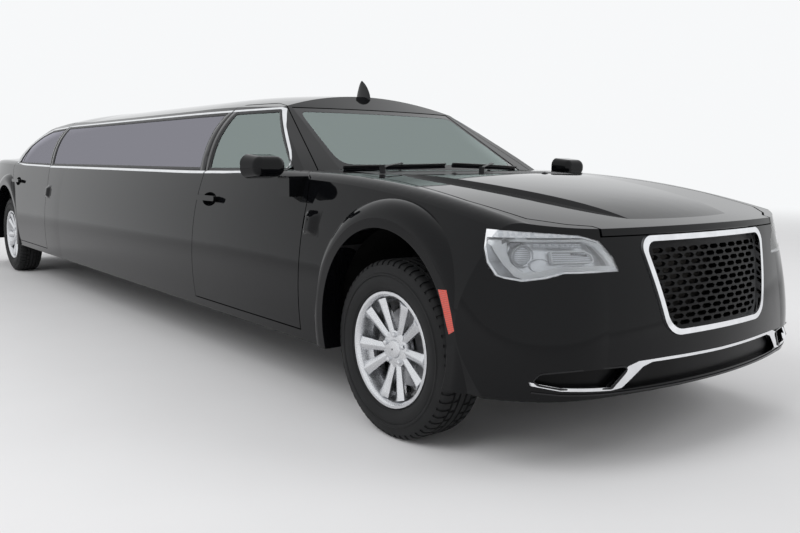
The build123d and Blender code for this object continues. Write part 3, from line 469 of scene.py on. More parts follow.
class Bench:
    """Mesh operations on one piece at a time, with bpy.ops as by hand."""

    @staticmethod
    def clear() -> None:
        """Leave edit mode and deselect everything."""
        if bpy.context.object and bpy.context.object.mode != "OBJECT":
            bpy.ops.object.mode_set(mode="OBJECT")
        bpy.ops.object.select_all(action="DESELECT")

    @classmethod
    def hold(cls, piece: Piece) -> None:
        """Make the piece the only selected and the active one."""
        cls.clear()
        piece.select_set(True)
        bpy.context.view_layer.objects.active = piece

    @staticmethod
    def named(name: str) -> Piece:
        """Name the new primitive, and put its place into its mesh."""
        piece = bpy.context.object
        piece.name = name
        piece.data.name = name
        bpy.ops.object.transform_apply(location=True, rotation=True, scale=True)
        return piece

    @classmethod
    def edit(cls, piece: Piece) -> None:
        """Enter the piece's edit mode with the whole mesh selected."""
        cls.hold(piece)
        bpy.ops.object.mode_set(mode="EDIT")
        bpy.ops.mesh.select_mode(type="VERT")
        bpy.ops.mesh.select_all(action="SELECT")

    @staticmethod
    def pick(piece: Piece, test: Callable[[Facet], bool]) -> None:
        """In edit mode, select only the faces that pass the test."""
        bpy.ops.mesh.select_mode(type="FACE")
        bpy.ops.mesh.select_all(action="DESELECT")
        mesh = bmesh.from_edit_mesh(piece.data)
        for face in [face for face in mesh.faces if test(face)]:
            face.select = True
        bmesh.update_edit_mesh(piece.data)

    @classmethod
    def steps(cls, piece: Piece, test: Callable[[Facet], bool],
              steps: Line) -> None:
        """Inset each face that passes the test by itself and raise it, step by step."""
        cls.edit(piece)
        cls.pick(piece, test)
        for inset, rise in steps:
            bpy.ops.mesh.inset(thickness=inset, use_individual=True)
            bpy.ops.transform.shrink_fatten(value=rise)
        cls.clear()

    @classmethod
    def apply(cls, piece: Piece, kind: str, **settings: object) -> None:
        """Add a modifier with its settings and apply it."""
        cls.hold(piece)
        modifier = piece.modifiers.new(kind.lower(), kind)
        for key, value in settings.items():
            setattr(modifier, key, value)
        bpy.ops.object.modifier_apply(modifier=modifier.name)

    @classmethod
    def bevel(cls, piece: Piece, width: float, angle: float) -> None:
        """Round the edges that are sharper than the angle in degrees, in two steps."""
        cls.apply(
            piece, "BEVEL", width=width, segments=2, limit_method="ANGLE", angle_limit=math.radians(angle)
        )

    @classmethod
    def grid(cls, name: str, across: int, up: int, places: Sequence[Point]) -> Piece:
        """An open sheet of quads, with its points at the given places, row by row."""
        cls.clear()
        bpy.ops.mesh.primitive_grid_add(x_subdivisions=across, y_subdivisions=up)
        piece = cls.named(name)
        for vertex, place in zip(piece.data.vertices, places):
            vertex.co = place
        return piece

    @classmethod
    def smooth(cls, piece: Piece, angle: float = 35.0) -> None:
        """Shade smooth, with sharp edges above the angle in degrees."""
        cls.hold(piece)
        bpy.ops.object.shade_smooth_by_angle(angle=math.radians(angle))

    @classmethod
    def tidy(cls, piece: Piece) -> None:
        """Merge doubles and turn every face outwards."""
        cls.edit(piece)
        bpy.ops.mesh.remove_doubles(threshold=1e-5)
        bpy.ops.mesh.normals_make_consistent(inside=False)
        cls.clear()

    @classmethod
    def lathe(cls, name: str, profile: Line, centre: Point, steps: int) -> Piece:
        """A ring turned about a line along Y.

        Args:
            name: the piece's name.
            profile: radius and place along Y of the profile's points; a closed one ends where it starts.
            centre: the line's point that the places are measured from.
            steps: how many sides the ring has.

        Returns:
            The piece.
        """
        cls.clear()
        middle = Vector(centre)
        radius, y = profile[0]
        bpy.ops.mesh.primitive_circle_add(
            vertices=steps, radius=radius, location=middle + Vector((0, y, 0)), rotation=(math.pi / 2, 0, 0)
        )
        piece = cls.named(name)
        cls.edit(piece)
        for (r0, y0), (r1, y1) in zip(profile, profile[1:]):
            bpy.ops.mesh.extrude_region_move(TRANSFORM_OT_translate={"value": (0, y1 - y0, 0)})
            bpy.ops.transform.resize(value=(r1 / r0, 1, r1 / r0), center_override=middle)
        cls.tidy(piece)
        return piece

    @classmethod
    def plate(cls, name: str, points: Sequence[Point]) -> Piece:
        """A flat face with the given corners, left in object mode."""
        cls.clear()
        bpy.ops.mesh.primitive_circle_add(vertices=len(points), radius=1.0, fill_type="NGON")
        piece = cls.named(name)
        for vertex, point in zip(piece.data.vertices, points):
            vertex.co = point
        return piece

    @classmethod
    def loft(cls, name: str, rings: Sequence[Sequence[Point]]) -> Piece:
        """A solid drawn out from its first ring of points through the others.

        Args:
            name: the piece's name.
            rings: closed outlines with as many points each, in the same order.

        Returns:
            The piece, with both ends closed.
        """
        piece = cls.plate(name, rings[0])
        cls.edit(piece)
        before = [Vector(point) for point in rings[0]]
        for ring in rings[1:]:
            bpy.ops.mesh.extrude_region_move()
            mesh = bmesh.from_edit_mesh(piece.data)
            moves = []
            for vertex in (v for v in mesh.verts if v.select):
                nearest = min(range(len(before)), key=lambda i: (vertex.co - before[i]).length_squared)
                moves.append((vertex, ring[nearest]))
            for vertex, place in moves:
                vertex.co = place
            bmesh.update_edit_mesh(piece.data)
            before = [Vector(point) for point in ring]
        cls.tidy(piece)
        return piece

    @classmethod
    def bar(cls, name: str, line: Sequence[Point], radius: float, sides: int = 12,
            flat: float = 1.0) -> Piece:
        """A round or flattened bar along a line.

        Args:
            name: the piece's name.
            line: the places that it passes through.
            radius: half its width.
            sides: how many sides it has.
            flat: its height as a share of its width.

        Returns:
            The piece.
        """
        spots = [Vector(point) for point in line]
        rings = []
        for i, spot in enumerate(spots):
            run = (spots[min(i + 1, len(spots) - 1)] - spots[max(i - 1, 0)]).normalized()
            across = run.cross(Vector((0, 0, 1)))
            across = (across if across.length > 0.05 else Vector((0, 1, 0))).normalized()
            rise = across.cross(run)
            rings.append([
                spot + across * radius * math.cos(t) + rise * radius * flat * math.sin(t)
                for t in circle(sides)
            ])
        piece = cls.loft(name, rings)
        cls.smooth(piece, 40)
        return piece

    @classmethod
    def box(cls, name: str, low: Point, high: Point, bevel: float, segments: int = 3) -> Piece:
        """A block with rounded edges, as a start for edit mode."""
        cls.clear()
        middle = (Vector(low) + Vector(high)) / 2
        bpy.ops.mesh.primitive_cube_add(size=1.0, location=middle, scale=Vector(high) - Vector(low))
        piece = cls.named(name)
        if bevel:
            cls.apply(piece, "BEVEL", width=bevel, segments=segments, limit_method="ANGLE")
        return piece

    @classmethod
    def copy(cls, piece: Piece, name: str, matrix: Matrix) -> Piece:
        """A copy with its own mesh, moved by the matrix; a mirrored copy keeps its faces outwards."""
        twin = piece.copy()
        twin.data = piece.data.copy()
        twin.name = name
        twin.data.name = name
        bpy.context.scene.collection.objects.link(twin)
        twin.data.transform(matrix)
        if matrix.determinant() < 0:
            twin.data.flip_normals()
        return twin

    @classmethod
    def dial(cls, name: str, profile: Line, steps: int, place: Point, squash: Point = (1, 1, 1),
             yaw: float = 0.0) -> Piece:
        """A lathed part whose -Y side looks to +X.

        Args:
            name: the piece's name.
            profile: as for the lathe.
            steps: how many sides it has.
            place: where the profile's origin goes.
            squash: how much it shrinks along X, Y and Z after the turn.
            yaw: how many degrees it then looks to the car's left.

        Returns:
            The piece.
        """
        piece = cls.lathe(name, profile, (0, 0, 0), steps)
        turn = Matrix.Diagonal((*squash, 1.0)) @ Matrix.Rotation(math.pi / 2, 4, "Z")
        aside = Matrix.Rotation(math.radians(yaw), 4, "Z")
        piece.data.transform(Matrix.Translation(place) @ aside @ turn)
        return piece

    @classmethod
    def face_out(cls, piece: Piece, outward: Vector) -> None:
        """Turn an open sheet's faces so that they look outward."""
        total = sum((face.normal * face.area for face in piece.data.polygons), Vector((0, 0, 0)))
        if total.dot(outward) < 0:
            piece.data.flip_normals()

    @classmethod
    def join(cls, pieces: Sequence[Piece], name: str) -> Piece:
        """Join pieces into the first one."""
        cls.hold(pieces[0])
        for piece in pieces:
            piece.select_set(True)
        bpy.ops.object.join()
        joined = bpy.context.object
        joined.name = name
        joined.data.name = name
        return joined

    @staticmethod
    def paint(piece: Piece, material: Material) -> None:
        """Give the piece one material."""
        piece.data.materials.clear()
        piece.data.materials.append(material)


MIRROR_Y = Matrix.Scale(-1, 4, Vector((0, 1, 0)))


class Surface:
    """The car's outer surface, to lay trims on and to find places on."""

    beside = -1.4
    above = 2.5

    def __init__(self, frame: dict, names: Sequence[str]) -> None:
        """Join merged copies of the frame's named CAD parts into one mesh."""
        copies = [Bench.copy(frame["nodes"][name], "surface_part", Matrix.Identity(4)) for name in names]
        self.mesh = Bench.join(copies, "surface")
        Bench.edit(self.mesh)
        bpy.ops.mesh.remove_doubles(threshold=2e-5)
        Bench.clear()

    def hit(self, start: Point, aim: Point) -> Vector:
        """Where a ray from the start along the aim meets the surface."""
        found, place, _, _ = self.mesh.ray_cast(Vector(start), Vector(aim).normalized())
        if not found:
            raise ValueError(f"no surface met from {start} along {aim}")
        return place

    def side(self, x: float, z: float) -> Vector:
        """The place on the right side at x and z."""
        return self.hit((x, self.beside, z), (0, 1, 0))

    def top(self, x: float, y: float) -> Vector:
        """The place on the top at x and y."""
        return self.hit((x, y, self.above), (0, 0, -1))

    def drop(self) -> None:
        """Remove the helper mesh."""
        bpy.data.objects.remove(self.mesh)


SKIN_NODES = (
    "cabin_frame", "roof", "stretch_panels", "rear_quarters", "front_fenders", "cowl", "hood", "trunk_lid",
    "front_bumper", "rear_bumper", "bumper_trim", "door_front_right", "door_rear_right", "side_glass",
    "glass_front_right", "glass_rear_right", "windscreen", "rear_window", "headlamp_lenses", "tail_lamps",
)


class Face(Enum):
    """The ways that a strip is laid, each with its way out of the car."""

    SIDE = (0, -1, 0)
    NOSE = (1, 0, 0)
    TAIL = (-1, 0, 0)

    def place(self, point: Pair) -> Vector:
        """A flat point's place outside the car: x and z on the side, y and z on the nose and tail."""
        a, b = point
        beside, beyond = -1.3, 4.6
        return Vector((a, beside, b)) if self is Face.SIDE else Vector((beyond * self.value[0], a, b))

    @property
    def outward(self) -> Vector:
        """The way out of the car."""
        return Vector(self.value)


@dataclass
class Trimmer:
    """Lays strips and plates on the car's surface from flat outlines."""

    surface: Surface
    finishes: Finishes

    def strip(self, name: str, first: Line, second: Line, face: Face, finish: str,
              thickness: float = 0.003, rows: int = 1, closed: bool = False, edge: float = 0.0009,
              sink: float = 0.0) -> Piece:
        """A strip between two lines of as many points.

        Args:
            name: the piece's name.
            first: one edge: x and z on the side, y and z on the nose and tail.
            second: the other edge.
            face: the way that it is laid.
            finish: its material.
            thickness: how far it stands proud.
            rows: how many faces lie across it.
            closed: whether its lines are closed outlines.
            edge: the width of its bevel.
            sink: how far behind the surface its outer face lies; it then grows inward.

        Returns:
            The piece.
        """
        ends = list(zip(first, second))
        ends += ends[:1] if closed else []
        places = [
            face.place((a + (c - a) * row / rows, b + (d - b) * row / rows))
            for row in range(rows + 1) for (a, b), (c, d) in ends
        ]
        piece = Bench.grid(name, len(ends) - 1, rows, places)
        return self.lay(piece, face, finish, thickness, edge, sink)

    def walk(self, start: Pair, way: Vector, face: Face, lengths: Sequence[float]) -> list[Pair]:
        """Flat points at given distances from a start, measured on the surface.

        Args:
            start: the flat point that the walk starts from.
            way: the walk's flat direction.
            face: the way that the surface is looked at.
            lengths: the distances on the surface, in rising order.

        Returns:
            One flat point for each distance, or the last before a sharp edge.
        """
        step, early, steps, missed, sharp = 0.001, 8, 80, -9.0, 0.012
        flats = [Vector(start) + way * (step * (k - early)) for k in range(steps)]
        depths = []
        for flat in flats:
            found, place, _, _ = self.surface.mesh.ray_cast(face.place(tuple(flat)), -face.outward)
            depths.append(place.dot(face.outward) if found else missed)
        whole = []
        for k, depth in enumerate(depths):
            before, after = depths[max(0, k - early):k], depths[k + 1:k + 1 + early]
            rim = min(max(before, default=depth), max(after, default=depth))
            whole.append(rim if rim > depth + sharp else depth)
        out, gone, k = [], 0.0, early
        for length in lengths:
            while gone < length and k < len(flats) - 1 and abs(whole[k + 1] - whole[k]) < sharp:
                gone += math.hypot(step, whole[k + 1] - whole[k])
                k += 1
            out.append(tuple(flats[k]))
        return out

    def ribbon(self, name: str, path: Line, near: float, far: float, face: Face, finish: str,
               thickness: float = 0.004, edge: float = 0.0012) -> Piece:
        """A strip to the right of a path, from near to far as measured on the surface itself."""
        beside = offset(path, -0.001, False)
        passes = 12
        spans = []
        for spot, next_spot in zip(path, beside):
            way = (Vector(next_spot) - Vector(spot)).normalized()
            spans.append([Vector(point) - Vector(spot) for point in self.walk(spot, way, face, (near, far))])
        for _ in range(passes):
            padded = [spans[0], *spans, spans[-1]]
            spans = [
                [(before[row] + here[row] + after[row]) / 3 for row in (0, 1)]
                for before, here, after in zip(padded, padded[1:], padded[2:])
            ]
        first, second = (
            [tuple(Vector(spot) + pair[row]) for spot, pair in zip(path, spans)] for row in (0, 1)
        )
        return self.strip(name, first, second, face, finish, thickness, rows=3, edge=edge)

    def lay(self, piece: Piece, face: Face, finish: str, thickness: float,
            edge: float = 0.0009, sink: float = 0.0) -> Piece:
        """Drop a flat mesh onto the surface, and give it its thickness, edge and finish."""
        Bench.edit(piece)
        bpy.ops.mesh.remove_doubles(threshold=1e-6)
        Bench.clear()
        Bench.apply(
            piece, "SHRINKWRAP", target=self.surface.mesh, wrap_method="PROJECT",
            use_project_x=face is not Face.SIDE, use_project_y=face is Face.SIDE, use_project_z=False,
            use_positive_direction=face is not Face.NOSE, use_negative_direction=face is Face.NOSE,
        )
        self.mend(piece, face)
        Bench.face_out(piece, face.outward)
        if sink:
            Bench.apply(piece, "DISPLACE", strength=-sink, mid_level=0.0)
        grow = -1.0 if sink else 1.0
        Bench.apply(piece, "SOLIDIFY", thickness=thickness, offset=grow, use_even_offset=True)
        if edge:
            Bench.bevel(piece, edge, 50)
        return self.finishes.coat(piece, finish, 30)

    @staticmethod
    def mend(piece: Piece, face: Face) -> None:
        """Give the points that met a gap in the skin the depth of the points beside them."""
        deepest = 1.0
        out, start = face.outward, face.place((0.0, 0.0)).dot(face.outward)
        depths = {vertex.index: vertex.co.dot(out) for vertex in piece.data.vertices}
        middle = sorted(depths.values())[len(depths) // 2]
        lost = {i for i, depth in depths.items() if abs(depth - start) < 1e-4 or depth < middle - deepest}
        links: dict[int, set[int]] = {i: set() for i in depths}
        for edge in piece.data.edges:
            a, b = edge.vertices
            links[a].add(b)
            links[b].add(a)
        while any(links[i] - lost for i in lost):
            found = {}
            for i in lost:
                beside = [depths[k] for k in links[i] - lost]
                if beside:
                    found[i] = sum(beside) / len(beside)
            for i, depth in found.items():
                piece.data.vertices[i].co += out * (depth - depths[i])
                depths[i] = depth
            lost -= set(found)

    @staticmethod
    def both(piece: Piece, body: str, slot: str) -> None:
        """Let a right-hand piece ride on a body, and its mirrored twin on the body's left-hand twin."""
        twin = Bench.copy(piece, f"{piece.name}_left", MIRROR_Y)
        piece.name = f"{piece.name}_right"
        seat(piece, slot, body)
        seat(twin, slot, body.replace("right", "left"))


def along(points: Line, step: float, closed: bool = False) -> list[Pair]:
    """The line with points added so that none of its runs is longer than the step."""
    ends = list(points) + ([points[0]] if closed else [])
    out = [tuple(ends[0])]
    for (a, b), (c, d) in zip(ends, ends[1:]):
        parts = max(1, math.ceil(math.hypot(c - a, d - b) / step))
        out += [(a + (c - a) * i / parts, b + (d - b) * i / parts) for i in range(1, parts + 1)]
    return out[:-1] if closed else out


def paired(first: Line, second: Line, parts: int, closed: bool = False,
           step: float = math.inf) -> tuple[list, list]:
    """Two lines with as many points, each run divided into at least the parts, none longer than the step."""
    lines = []
    loop = [*first, first[0]] if closed else first
    counts = [max(parts, math.ceil(math.dist(a, b) / step)) for a, b in zip(loop, loop[1:])]
    for line in (first, second):
        ends = [*line, line[0]] if closed else line
        out = [
            (a + (c - a) * k / count, b + (d - b) * k / count)
            for (a, b), (c, d), count in zip(ends, ends[1:], counts) for k in range(count)
        ]
        lines.append(out if closed else out + [tuple(ends[-1])])
    return lines[0], lines[1]


def level(line: Line, a: float) -> float:
    """The second number of a line where its first is a."""
    ends = sorted(line)
    for (a0, b0), (a1, b1) in zip(ends, ends[1:]):
        if a <= a1:
            return b0 + (b1 - b0) * (a - a0) / max(1e-9, a1 - a0)
    return ends[-1][1]


def ease(share: float) -> float:
    """A smooth step from 0 to 1."""
    t = min(1.0, max(0.0, share))
    return t * t * (3 - 2 * t)


def rounded(points: Line, radius: float, steps: int = 6, closed: bool = True) -> list[Pair]:
    """The line or outline with its corners rounded.

    Args:
        points: the corners.
        radius: the corners' radius, less where a run is short.
        steps: how many runs an arc gets.
        closed: whether the last corner joins the first.

    Returns:
        The outline's points.
    """
    out = []
    count = len(points)
    for i, corner in enumerate(points):
        here = Vector(corner)
        before = Vector(points[i - 1]) - here
        after = Vector(points[(i + 1) % count]) - here
        half = before.angle(after) / 2
        if (not closed and i in (0, count - 1)) or half > math.radians(87):
            out.append(tuple(here))
            continue
        run = min(radius / math.tan(half), before.length * 0.48, after.length * 0.48)
        start, end = here + before.normalized() * run, here + after.normalized() * run
        for k in range(steps + 1):
            t = k / steps
            spot = start * (1 - t) ** 2 + here * (2 * t * (1 - t)) + end * t ** 2
            out.append(tuple(spot))
    return out


def offset(points: Line, amount: float, closed: bool = True) -> list[Pair]:
    """The line or outline moved to the left of its run by the amount."""
    out = []
    count = len(points)
    for i, corner in enumerate(points):
        here = Vector(corner)
        runs = []
        if closed or i:
            runs.append(here - Vector(points[i - 1]))
        if closed or i < count - 1:
            runs.append(Vector(points[(i + 1) % count]) - here)
        normals = [Vector((-run.y, run.x)).normalized() for run in runs]
        side = sum(normals, Vector((0.0, 0.0)))
        out.append(tuple(here + side * (amount * len(normals) / max(0.3, side.length_squared))))
    return out


def turned(angle: float, centre: Point) -> Matrix:
    """A turn by an angle in degrees about the line along Y through the centre."""
    middle = Matrix.Translation(centre)
    return middle @ Matrix.Rotation(math.radians(angle), 4, "Y") @ middle.inverted()


@dataclass
class Tyre:
    """A road tyre with its tread, made once and copied to the four places."""

    finishes: Finishes
    radius: float = 0.3555
    half: float = 0.1075
    bead: float = 0.232
    steps: int = 180
    groove: float = 0.0075
    groove_width: float = 0.0095
    grooves: tuple[float, ...] = (-0.045, -0.0155, 0.0155, 0.045)
    lug: float = 0.0052
    from_bead: Line = (
        (0.0, 0.0215), (0.006, 0.0125), (0.011, 0.0115), (0.0125, 0.0085), (0.03, 0.0015), (0.045, 0.0005),
        (0.056, 0.0022), (0.0595, 0.0042), (0.0635, 0.0), (0.0695, 0.0), (0.0735, 0.0046),
    )
    from_tread: Line = (
        (0.03, 0.0085), (0.022, 0.0125), (0.0205, 0.0118), (0.0105, 0.0175), (0.0042, 0.026), (0.0012, 0.037),
    )

    def profile(self) -> list[Pair]:
        """The closed profile: bead, side, tread and back round the inside."""
        side = [(self.bead + up, self.half - inward) for up, inward in self.from_bead]
        side += [(self.radius - down, self.half - inward) for down, inward in self.from_tread]
        edge, floor = self.groove_width / 2, self.radius - self.groove
        base = edge * 0.75
        tread = []
        for middle in sorted(self.grooves, reverse=True):
            tread += [
                (self.radius, middle + edge), (floor, middle + base), (floor, middle - base),
                (self.radius, middle - edge),
            ]
        back = [(r, -y) for r, y in reversed(side)]
        hidden, inward = self.bead - 0.012, self.half - 0.03
        inside = [(hidden, -inward), (hidden, inward)]
        return side + tread + back + inside + [side[0]]

    def build(self, centre: Point) -> Piece:
        """The tyre at the given centre, with cuts across its tread blocks."""
        piece = Bench.lathe("tyre", self.profile(), centre, self.steps)
        middle = Vector(centre)
        Bench.edit(piece)
        low, centre_rib, shoulder, shallow = self.radius - 0.016, 0.0105, 0.05, self.groove * 0.4

        def in_cut(face: Facet) -> bool:
            """Whether a face of the tread lies on a cut across a block."""
            place = face.calc_center_median() - middle
            radius = math.hypot(place.x, place.z)
            sector = int((math.atan2(place.z, place.x) / math.tau + 1) * self.steps) % self.steps
            if radius < low or abs(place.y) < centre_rib:
                return False
            if abs(place.y) > shoulder:
                return sector % 3 == 0
            floor = radius < self.radius - shallow
            return not floor and (sector + (2 if place.y > 0 else 0)) % 4 == 0

        Bench.pick(piece, in_cut)
        bpy.ops.mesh.extrude_region_move()
        bpy.ops.transform.shrink_fatten(value=-self.lug)
        Bench.clear()
        return self.finishes.coat(piece, "tyre_rubber", 32)


@dataclass
class Alloy:
    """A silver wheel of ten ridged spokes in five pairs, with its nuts and a bare cap."""

    finishes: Finishes
    rim: float = 0.216
    lip: float = 0.232
    seat: float = 0.0855
    pairs: int = 5
    lean: float = 15.0
    nut_circle: float = 0.0575
    foot: float = 0.36
    sections: tuple[tuple[float, float, float, float, float], ...] = (
        (0.04, 0.062, 0.055, 0.028, 0.034),
        (0.075, 0.068, 0.06, 0.032, 0.036),
        (0.13, 0.077, 0.066, 0.042, 0.043),
        (0.18, 0.085, 0.072, 0.05, 0.052),
        (0.2035, 0.09, 0.078, 0.058, 0.062),
    )

    def barrel(self, centre: Point) -> Piece:
        """The rim's barrel with its flanges."""
        flange = self.seat + 0.01
        well = self.rim - 0.016
        outer = [
            (self.lip - 0.002, -flange), (self.lip, -flange + 0.002), (self.lip, -self.seat),
            (self.rim, -self.seat), (self.rim, -self.seat + 0.034), (well, -self.seat + 0.054),
            (well, self.seat - 0.034), (self.rim, self.seat - 0.016), (self.rim, self.seat),
            (self.lip, self.seat), (self.lip, flange),
        ]
        inner = [
            (self.rim + 0.006, flange), (self.rim - 0.01, self.seat), (well - 0.008, self.seat - 0.034),
            (well - 0.008, -self.seat + 0.054), (self.rim - 0.009, -self.seat + 0.03),
            (self.rim - 0.008, -self.seat + 0.006), (self.rim - 0.003, -self.seat - 0.003),
            (self.rim + 0.004, -flange + 0.0005),
        ]
        return Bench.lathe("barrel", outer + inner + [outer[0]], centre, 120)

    def spoke(self, centre: Point) -> Piece:
        """One spoke towards +X, drawn out section by section from its root."""
        middle = Vector(centre)
        radius, ridge, edge, back, width = self.sections[0]
        start = [
            middle + Vector((radius, -ridge, 0)), middle + Vector((radius, -edge, width / 2)),
            middle + Vector((radius, -back, width * self.foot)),
            middle + Vector((radius, -back, -width * self.foot)),
            middle + Vector((radius, -edge, -width / 2)),
        ]
        piece = Bench.plate("spoke", start)
        Bench.edit(piece)
        for row, after in zip(self.sections, self.sections[1:]):
            bpy.ops.mesh.extrude_region_move(TRANSFORM_OT_translate={"value": (after[0] - row[0], 0, 0)})
            mesh = bmesh.from_edit_mesh(piece.data)
            radius, ridge, edge, back, width = after
            for vertex in (v for v in mesh.verts if v.select):
                place = vertex.co - middle
                if abs(place.z) < 1e-6:
                    vertex.co.y = middle.y - ridge
                elif place.y < -(row[2] + row[3]) / 2:
                    vertex.co.y = middle.y - edge
                    vertex.co.z = middle.z + math.copysign(width / 2, place.z)
                else:
                    vertex.co.y = middle.y - back
                    vertex.co.z = middle.z + math.copysign(width * self.foot, place.z)
            bmesh.update_edit_mesh(piece.data)
        Bench.tidy(piece)
        Bench.bevel(piece, 0.0022, 28)
        return piece

    def hub(self, centre: Point) -> Piece:
        """The hub's bowl with its boss."""
        profile = [
            (0.004, -0.0765), (0.02, -0.076), (0.0325, -0.074), (0.0355, -0.0715), (0.038, -0.066),
            (0.047, -0.0655), (0.066, -0.0645), (0.0735, -0.062), (0.0765, -0.056), (0.0765, -0.03),
            (0.07, -0.02), (0.052, -0.016), (0.004, -0.016),
        ]
        return Bench.lathe("hub", profile, centre, 80)

    def nut(self, centre: Point) -> Piece:
        """One wheel nut with its domed head."""
        Bench.clear()
        place = Vector(centre) + Vector((self.nut_circle, -0.062, 0))
        bpy.ops.mesh.primitive_cylinder_add(
            vertices=6, radius=0.0108, depth=0.02, location=place, rotation=(math.pi / 2, 0, 0)
        )
        piece = Bench.named("nut")
        Bench.edit(piece)
        Bench.pick(piece, lambda face: face.normal.y < -0.9)
        for inset, rise in ((0.0022, 0.0035), (0.0035, 0.0015)):
            bpy.ops.mesh.inset(thickness=inset)
            bpy.ops.transform.translate(value=(0, -rise, 0))
        Bench.clear()
        Bench.bevel(piece, 0.0009, 30)
        return piece

    def build(self, centre: Point) -> Piece:
        """The whole wheel, its outer face towards -Y."""
        parts = [self.barrel(centre), self.hub(centre)]
        spoke = self.spoke(centre)
        nut = self.nut(centre)
        for pair in range(self.pairs):
            middle = 90 + pair * 360 / self.pairs
            for lean in (-self.lean, self.lean):
                parts.append(Bench.copy(spoke, "spoke", turned(middle + lean, centre)))
            parts.append(Bench.copy(nut, "nut", turned(middle + 180 / self.pairs, centre)))
        for master in (spoke, nut):
            bpy.data.objects.remove(master)
        return self.finishes.coat(Bench.join(parts, "alloy"), "alloy_silver", 30)


@dataclass
class Brake:
    """A vented brake disc behind the spokes, which turns with the wheel."""

    finishes: Finishes
    radius: float = 0.16

    def build(self, centre: Point) -> Piece:
        """The disc at the given centre."""
        profile = [
            (0.058, -0.014), (0.08, -0.014), (0.086, 0.01), (self.radius, 0.01), (self.radius, 0.018),
            (self.radius - 0.004, 0.018), (self.radius - 0.004, 0.026), (self.radius, 0.026),
            (self.radius, 0.034), (0.086, 0.034), (0.058, 0.03), (0.058, -0.014),
        ]
        return self.finishes.coat(Bench.lathe("brake_disc", profile, centre, 96), "machined_steel", 30)


@dataclass
class Wheels:
    """The four wheels with their tyres and brakes."""

    finishes: Finishes

    def build(self) -> None:
        """Make one wheel and copy it to the four places."""
        centre = (FRONT_AXLE, -TRACK_HALF, AXLE_HEIGHT)
        slots = {"tyre": "tyre_rubber", "wheel": "wheel_alloy", "disc": "steel"}
        kinds = {"tyre": Tyre, "wheel": Alloy, "disc": Brake}
        masters = {kind: maker(self.finishes).build(centre) for kind, maker in kinds.items()}
        for axle in Axle:
            for side in Side:
                place = f"{axle.word}_{side.word}"
                move = Matrix.Translation((axle.value - FRONT_AXLE, 0, 0))
                if side is Side.LEFT:
                    move = MIRROR_Y @ move
                for kind, master in masters.items():
                    piece = Bench.copy(master, f"{kind}_look_{place}", move)
                    seat(piece, slots[kind], f"wheel_{place}", "" if kind == "disc" else f"{kind}_{place}")
        for master in masters.values():
            bpy.data.objects.remove(master)


@dataclass
class SideTrims:
    """The bright mouldings, black pillar covers and rubber seals round the side windows."""

    trimmer: Trimmer
    near: float = 0.009
    far: float = 0.026
    step: float = 0.03
    front_window: Line = (
        (front(-0.885), 1.043), (front(-1.335), 1.35), (front(-1.738), 1.35), (front(-1.672), 1.036),
    )
    long_window: Line = (
        (front(-1.782), 1.038), (front(-1.838), 1.35), (rear(1.305), 1.35), (rear(1.397), 1.04),
    )
    rear_window: Line = (
        (rear(1.304), 1.04), (rear(1.208), 1.345), (rear(0.8), 1.334), (rear(0.56), 1.288),
        (rear(0.36), 1.204), (rear(0.228), 1.088), (rear(0.215), 1.048),
    )

    def build(self) -> None:
        """Lay every piece on the right side and copy it to the left."""
        self.seals()
        self.mouldings()
        self.pillars()

    def seals(self) -> None:
        """A rubber lip round each pane."""
        for name, outline, body in (
            ("seal_front", self.front_window, "door_front_right"),
            ("seal_long", self.long_window, "body"),
            ("seal_rear", self.rear_window, "door_rear_right"),
        ):
            line = along(outline, self.step, closed=True)
            piece = self.trimmer.strip(
                name, offset(line, -0.003), offset(line, 0.01), Face.SIDE, "trim_black", 0.002, closed=True
            )
            self.trimmer.both(piece, body, "black_plastic")

    def mouldings(self) -> None:
        """The bright line under the windows, up the screen pillar and over the roof's edge."""
        low, high, _, last = self.front_window
        for name, body, line in (
            (
                "moulding_front", "door_front_right",
                [(front(-1.7), 1.036), last, low, high, (front(-1.785), 1.35)],
            ),
            ("moulding_long_top", "body", [(front(-1.802), 1.35), (rear(1.262), 1.35)]),
            ("moulding_long_belt", "body", [(rear(1.357), 1.04), (front(-1.714), 1.036)]),
            (
                "moulding_rear", "door_rear_right",
                [(rear(1.243), 1.345), *self.rear_window[2:], (rear(1.346), 1.04)],
            ),
        ):
            path = along(rounded(line, 0.045, closed=False), self.step)
            piece = self.trimmer.ribbon(
                name, path, self.near, self.far, Face.SIDE, "bright_chrome", 0.003, 0.0008
            )
            self.trimmer.both(piece, body, "chrome")

    def pillars(self) -> None:
        """Gloss black covers on the pillars between the windows, and the rear quarter pane's bar."""
        for name, body, end, (low_a, high_a, low_b, high_b), (foot, head, head_b) in (
            (
                "cover_front", "door_front_right", front, (-1.678, -1.744, -1.703, -1.779),
                (1.03, 1.356, 1.356),
            ),
            ("cover_middle", "body", front, (-1.72, -1.796, -1.777, -1.834), (1.03, 1.356, 1.356)),
            ("cover_lounge", "body", rear, (1.394, 1.301, 1.354, 1.265), (1.03, 1.356, 1.356)),
            ("cover_rear", "door_rear_right", rear, (1.338, 1.25, 1.308, 1.214), (1.03, 1.352, 1.352)),
            ("quarter_bar", "door_rear_right", rear, (0.352, 0.398, 0.338, 0.384), (1.052, 1.213, 1.206)),
        ):
            first, second = paired(
                [(end(low_a), foot), (end(high_a), head)], [(end(low_b), foot), (end(high_b), head_b)], 1,
                step=self.step,
            )
            piece = self.trimmer.strip(
                name, first, second, Face.SIDE, "gloss_black", 0.0016, rows=2, edge=0.0006
            )
            self.trimmer.both(piece, body, "black_plastic")


